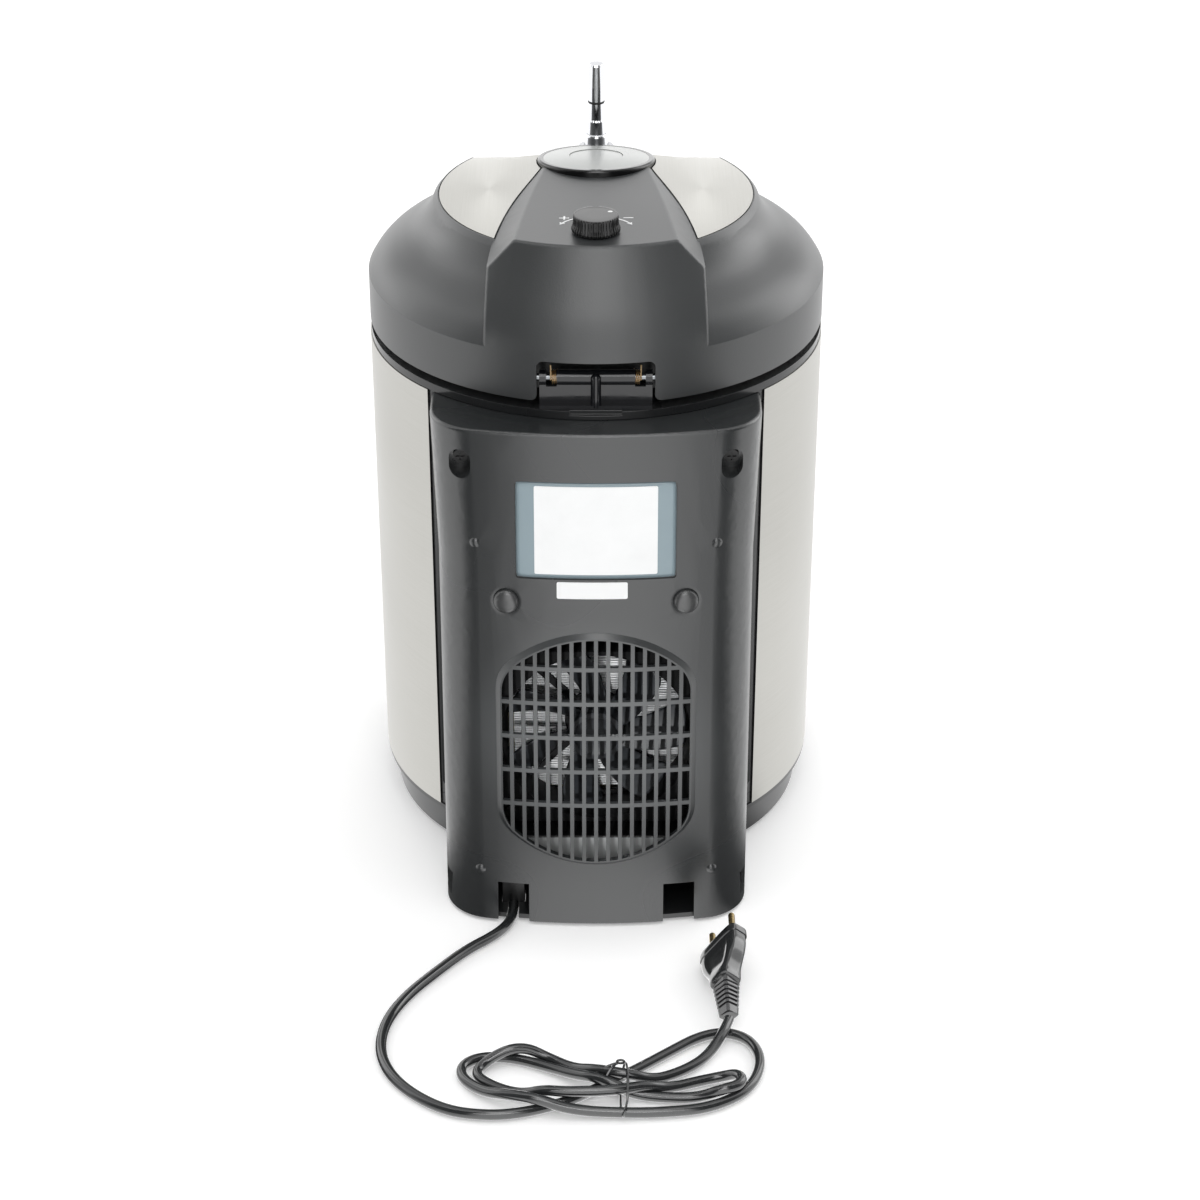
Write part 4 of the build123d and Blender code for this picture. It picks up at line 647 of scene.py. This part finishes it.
def plug_housing():
    """Moulded plug: superellipse sections whose half width grows from a short neck to a rimmed face,
    with a shallow grip dished into both flat sides by the product of two smooth bumps."""
    profile = np.array([
        (-7, 0, 0), (-7, 7.2, 6), (-6.6, 7.9, 6.7), (-5.4, 8.2, 7), (-3, 8.4, 6.9), (0, 8.9, 6.6),
        (3, 9.9, 6.4), (6, 11.2, 6.3), (9, 12.6, 6.3), (11.5, 13.7, 6.3), (14, 14.7, 6.3),
        (16.5, 15.4, 6.3), (19, 15.9, 6.3), (21.5, 16.2, 6.3), (24, 16.3, 6.3), (25.4, 16.3, 6.3),
        (26, 16.4, 6.35), (26.5, 17, 6.8), (28, 17, 6.8), (30, 17, 6.8), (31.9, 16.9, 6.7),
        (32.6, 16.5, 6.4), (33, 15.6, 5.7), (33, 0, 0)])
    run, wide, deep = profile.T
    x, y = rounded_section(wide, deep, 5.0, 120)
    grip = np.exp(-(x / (0.62 * wide.clip(1)[:, None])) ** 8) * np.exp(-((run[:, None] - 13.0) / 10.0) ** 8)
    y = y - np.sign(y) * 0.9 * grip * (np.abs(y) > 1)
    housing = mesh_piece("plug_housing", "base", "lead_pvc", sections(x, y, run, *plug_axes()),
                         grid_faces(len(run), 120, round_columns=True))
    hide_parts("plug_body")
    return tidy_mesh(housing, 40)


def plug_boot():
    """Ribbed boot between plug and lead: nearly square sections, rolled so that a corner is up, whose
    size tapers towards the lead and steps in at each of six grooves by a flattened wave."""
    run = np.linspace(-4.5, -RELIEF_L, 180)
    along = (run + 6.0) / (6.0 - RELIEF_L)
    wave = np.clip(4.0 * np.cos(2 * np.pi * (along - 0.04) * 7.6), -1, 1)
    plain = np.clip((0.82 - along) / 0.02, 0, 1) * np.clip((along - 0.03) / 0.02, 0, 1)
    size = 7.0 - 2.2 * along - 0.5 * plain * (1 - wave)
    size = np.concatenate([[0], size, [size[-1] - 0.6, CORD_R + 0.15]])
    run = np.concatenate([run[:1], run, [run[-1] - 0.3, run[-1] - 0.3]])
    x, y = rounded_section(size, 0.92 * size, 5.0, 88)
    back = np.array([
        math.sin(RELIEF_TURN) * math.cos(RELIEF_DROOP), -math.cos(RELIEF_TURN) * math.cos(RELIEF_DROOP),
        math.sin(RELIEF_DROOP)])
    one, _, _ = plug_axes()
    one = one - back * one.dot(back)
    one /= np.linalg.norm(one)
    boot = mesh_piece("plug_boot", "base", "lead_pvc", sections(x, y, run, one, np.cross(back, one), back),
                      grid_faces(len(run), 88, round_columns=True))
    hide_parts("plug_relief")
    return tidy_mesh(boot, 40)


# ---------------------------------------------------------------- pieces on the lid
def print_ribbon(path, width):
    """A printed line on the spine's flat top: the path's points, moved half the width to each side."""
    path = np.asarray(path, float)
    ahead = np.gradient(path, axis=0)
    ahead /= np.linalg.norm(ahead, axis=1)[:, None]
    aside = np.stack([-ahead[:, 1], ahead[:, 0]], axis=1) * np.reshape(width, (-1, 1)) / 2
    plan = np.stack([path - aside, path + aside], axis=1)
    height = SPINE_Z + SPINE_RISE * plan[..., 1] + 0.03
    return np.concatenate([plan, height[..., None]], axis=2)


def knob_marks():
    """White plus, minus and two arrows beside the regulator knob; each arrow is an arc about the
    knob's axis whose width swells to a barb and then runs out to a point."""
    ribbons = [
        print_ribbon([(21.4, 68.5), (18.4, 68.5), (15.4, 68.5)], 1.15),
        print_ribbon([(18.4, 65.5), (18.4, 68.5), (18.4, 71.5)], 1.15) + np.array([0, 0, 0.012]),
        print_ribbon([(-15.9, 67.9), (-18.8, 67.9), (-21.7, 67.9)], 1.15),
    ]
    for side in (1, -1):
        turn = np.radians(np.concatenate([np.linspace(30, 56, 14), [56.01, 60, 64]]))
        width = np.concatenate([np.full(14, 1.15), [3.7, 1.85, 0.02]])
        arc = np.stack([side * 23.2 * np.sin(turn), KNOB_Y - 23.2 * np.cos(turn)], axis=1)
        ribbons.append(print_ribbon(arc, width))
    parts = [(ribbon, grid_faces(len(ribbon), 2)) for ribbon in ribbons]
    marks = mesh_piece("knob_marks", "lid", "label", *join(parts), finish=PRINT)
    tidy_mesh(marks, closed=False)
    thicken(marks, "ink", 0.05, 1.0 if marks.data.polygons[0].normal.z > 0 else -1.0)
    return marks


def knob_dot():
    """White index dot on the knob: a flat oval cap of rings that shrink to its middle."""
    turn = circle(36)
    radius = np.array([0.0, 0.6, 1.05, 1.15, 1.15])[:, None]
    height = np.array([0.05, 0.05, 0.04, 0.0, -0.3])[:, None]
    x = -8.2 + radius * np.cos(turn) * 1.25
    y = 85.0 + radius * np.sin(turn)
    dot = mesh_piece("knob_dot", "knob", "label", np.stack([x, y, KNOB_TOP + height + 0 * x], axis=-1),
                     grid_faces(5, 36, round_columns=True), PRINT)
    return tidy_mesh(dot)


def hinge_coils():
    """Two torsion springs on the hinge pin: a helix about X of three turns and a little more, whose
    outer end runs up into the lid as a straight leg and whose inner end stops behind the bracket."""
    parts = []
    for side in (-1, 1):
        turn = np.linspace(0, 2 * np.pi * 3.25, 150)
        coil = np.stack([
            side * (SPRING_X + 3.9 - 1.2 * turn / (2 * np.pi)),
            HINGE_Y + SPRING_R * np.cos(turn), HINGE_Z + SPRING_R * np.sin(turn)], axis=1)
        leg = np.linspace(0, 1, 10)[:, None]
        tail = coil[0] + leg[::-1] * np.array([0, 0.3, 9.5])
        head = coil[-1] + leg * np.array([0, -3.0, -0.4])
        parts.append(tube(np.concatenate([tail[:-1], coil, head[1:]]), SPRING_WIRE, 10))
    coils = mesh_piece("hinge_coils", "base", "spring_wire", *join(parts))
    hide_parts("hinge_springs")
    return tidy_mesh(coils)


def ribbed_knob():
    """Regulator knob: a turned profile of radius and height whose side carries ribs. Each point's
    radius is taken in by the rib depth at its height times a half wave of the angle, 42 round."""
    profile = np.array([
        (0.0, 0.0, 0), (13.2, 0.0, 0), (14.0, 0.4, 0.5), (14.2, 1.2, 1), (14.1, 2.2, 1), (13.6, 3.4, 1),
        (13.25, 4.8, 1), (13.15, 6.8, 1), (13.1, 8.4, 1), (13.05, 9.1, 1), (12.9, 9.55, 0.7),
        (12.5, 9.85, 0), (12.0, 9.95, 0), (11.2, 10.0, 0), (6.0, 10.0, 0), (0.0, 10.0, 0)])
    turn = circle(KNOB_RIBS * 8)
    groove = 0.5 + 0.5 * np.cos(KNOB_RIBS * turn)
    radius = profile[:, :1] - 0.46 * profile[:, 2:] * groove
    points = np.stack([
        radius * np.cos(turn), KNOB_Y + radius * np.sin(turn), KNOB_Z + profile[:, 1:2] + 0 * turn], axis=-1)
    knob = mesh_piece("ribbed_knob", "knob", "gloss_black", points,
                      grid_faces(len(profile), len(turn), round_columns=True))
    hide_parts("regulator_knob")
    return tidy_mesh(knob, 35)


# ---------------------------------------------------------------- pieces on the back
def cover_surface(x, z, depth):
    """Y of the bowed, leaning back of the cover, depth below its face."""
    return COVER_Y0 - COVER_LEAN * (z - COVER_Z0) - COVER_BOW + np.sqrt((COVER_BOW - depth) ** 2 - x ** 2)


def label_recess():
    """Polished floor of the label's recess: a sheet that follows the cover's back, rounded in plan
    by a superellipse of high order."""
    u = np.linspace(-1, 1, 41)[:, None]
    v = np.linspace(-1, 1, 25)[None, :]
    half_x, half_z = RECESS_X / 2 - 0.4, RECESS_H / 2 - 0.4
    x = half_x * u * (1 - 0.012 * v ** 12) + 0 * v
    z = RECESS_Z + half_z * v * (1 - 0.02 * u ** 12)
    points = np.stack([x, cover_surface(x, z, RECESS_DEEP - 0.03), z + 0 * x], axis=-1)
    # The recess floor's pale colour is painted reflection.
    film = mesh_piece("label_recess", "base", "cover_plastic", points, grid_faces(41, 25), RECESS_PAINTED_REFLECTION)
    tidy_mesh(film, closed=False)
    thicken(film, "floor", 0.02)
    return film


def wall_bumpers():
    """Two rubber domes in the cover's dishes: a profile turned about the cover's normal. Over a low
    side, its radius and height run with the cosine and sine of one angle, to the power 0.85."""
    cap = np.linspace(0, np.pi / 2, 16)
    radius = np.concatenate([[0, 4.0, BUMPER_R - 0.1], BUMPER_R * np.cos(cap).clip(0) ** 0.85])[:, None, None]
    height = np.concatenate([[-1.3, -1.1, -0.6], BUMPER_H * np.sin(cap) ** 0.85 - 0.15])[:, None, None]
    turn = circle(64)[:, None]
    parts = []
    for x in (-BUMPER_X, BUMPER_X):
        out = np.array([x / COVER_BOW, 1, COVER_LEAN])
        out /= np.linalg.norm(out)
        one = np.array([1, -x / COVER_BOW, 0]) / math.hypot(1, x / COVER_BOW)
        ring = np.cos(turn) * one + np.sin(turn) * np.cross(out, one)
        centre = np.array([x, cover_surface(x, BUMPER_Z, 0), BUMPER_Z])
        parts.append((centre + height * out + radius * ring,
                      grid_faces(len(radius), len(turn), round_columns=True)))
    domes = mesh_piece("wall_bumper_domes", "base", "cover_plastic", *join(parts), finish=BUMPER)
    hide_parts("wall_bumpers")
    return tidy_mesh(domes, 50)


def cooling_fins():
    """Extruded heat sink: a comb in Y and Z, a base plate with level fins, carried along X."""
    first, count = FAN_Z - SINK_X, int((2 * SINK_X - FIN_T) / FIN_PITCH)
    low = first + FIN_PITCH * np.arange(count + 1)
    root, tip = SINK_BACK + SINK_BASE, SINK_FRONT
    comb = np.stack([
        np.stack([np.full_like(low, root), low], axis=-1), np.stack([np.full_like(low, tip), low], axis=-1),
        np.stack([np.full_like(low, tip), low + FIN_T], axis=-1),
        np.stack([np.full_like(low, root), low + FIN_T], axis=-1)], axis=1).reshape(-1, 2)
    outline = np.concatenate([[(SINK_BACK, first)], comb, [(SINK_BACK, comb[-1, 1])]])
    points = np.stack([
        np.concatenate([np.full((1, len(outline)), side * SINK_X), outline.T]).T for side in (-1, 1)])
    sink = mesh_piece("cooling_fins", "base", "aluminium", points,
                      grid_faces(2, len(outline), round_columns=True))
    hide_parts("heat_sink")
    return tidy_mesh(sink, 20)


def fan_hub():
    """Hub of the fan: a profile of radius and height turned about the fan's axis, its flat middle a
    little below its rim."""
    radius = np.array([0, 12.0, HUB_R - 3.5, HUB_R - 0.6, HUB_R, HUB_R, HUB_R, 0.0])
    height = np.array([-1.6, -1.6, -0.2, -0.6, -2.0, -10.0, FAN_BACK - FAN_FRONT, FAN_BACK - FAN_FRONT])
    turn = circle(64)
    points = np.stack([
        radius[:, None] * np.sin(turn), FAN_FRONT + height[:, None] + 0 * turn,
        FAN_Z + radius[:, None] * np.cos(turn)], axis=-1)
    hub = mesh_piece("fan_hub", "fan", "black_plastic", points,
                     grid_faces(len(radius), len(turn), round_columns=True), FAN_BLACK)
    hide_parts("fan_rotor")
    return tidy_mesh(hub, 50)


def fan_blades():
    """Seven twisted blades. A blade's point at radius r and chord place s turns about the fan's axis
    by s times the half chord over r, swept forward with r, while its height along the axis falls
    with s by the sine of a pitch that flattens towards the tip."""
    rows, columns, count = 22, 20, 7
    r = np.linspace(HUB_R - 0.5, BLADE_R - 0.9, rows)[:, None]
    s = np.linspace(-1, 1, columns)[None, :]
    grow = np.maximum(r - HUB_R, 0) / (BLADE_R - HUB_R)
    chord = 8.5 + 6.0 * grow ** 0.8 - 2.2 * np.maximum(grow - 0.9, 0) * 10 * s ** 2
    pitch = np.radians(44 - 17 * grow)
    y = (FAN_BACK + FAN_FRONT) / 2 - s * chord * np.sin(pitch) * 0.92 + 1.6 * (1 - s ** 2) - 0.8
    parts = []
    for blade in range(count):
        angle = 2 * np.pi * blade / count + s * chord * np.cos(pitch) / r + 0.32 * grow
        surface_points = np.stack([r * np.sin(angle), y + 0 * r, FAN_Z + r * np.cos(angle)], axis=-1)
        parts.append((surface_points, grid_faces(rows, columns)))
    blades = mesh_piece("fan_blades", "fan", "black_plastic", *join(parts), finish=FAN_BLACK)
    tidy_mesh(blades, closed=False)
    thicken(blades, "blade wall", 1.3, 0.0)
    return blades


camera()
sky()
paper_floor()
lights()
lead = mains_lead()
tie = wire_tie()
sleeves = pin_sleeves()
housing = plug_housing()
boot = plug_boot()
knob_marks()
ribbed_knob()
knob_dot()
hinge_coils()
label_recess()
wall_bumpers()
cooling_fins()
fan_hub()
fan_blades()


SPECIAL = {
    "steel_skin": {"uv": around_barrel},
    "plate_left": {"uv": in_plan},
    "plate_right": {"uv": in_plan},
    "drip_grid": {"uv": in_plan},
    "well_liner": {"uv": around_barrel},
    "cover_screws": {"finish": SCREW_WITH_PAINTED_SHADE},
    "fan_screws": {"finish": SCREW_WITH_PAINTED_SHADE},
    "fan_frame": {"finish": FAN_HOUSING},
    "plug_pins": {"finish": PIN_METAL},
    "cord_clamp": {"finish": CLAMP_WITH_PAINTED_SHADE, "bevel": 0.4},
    "hinge_pin": {"finish": PIN_STEEL},
    "hinge_bracket": {"finish": SMOKED, "bevel": 0.3},
    "top_deck": {"finish": COLLAR, "bevel": 0.4},
    "lid_shell": {"angle": 24.0},
    "power_supply": {"bevel": 0.6},
}
REPLACED = {
    "power_cord", "cord_hank", "twist_tie", "hinge_springs", "fan_rotor", "regulator_knob", "plug_body",
    "plug_relief", "heat_sink", "wall_bumpers"}
for name in nodes:
    if name not in REPLACED:
        dress(name, **SPECIAL.get(name, {}))

bpy.context.scene.view_settings.view_transform = "Standard"
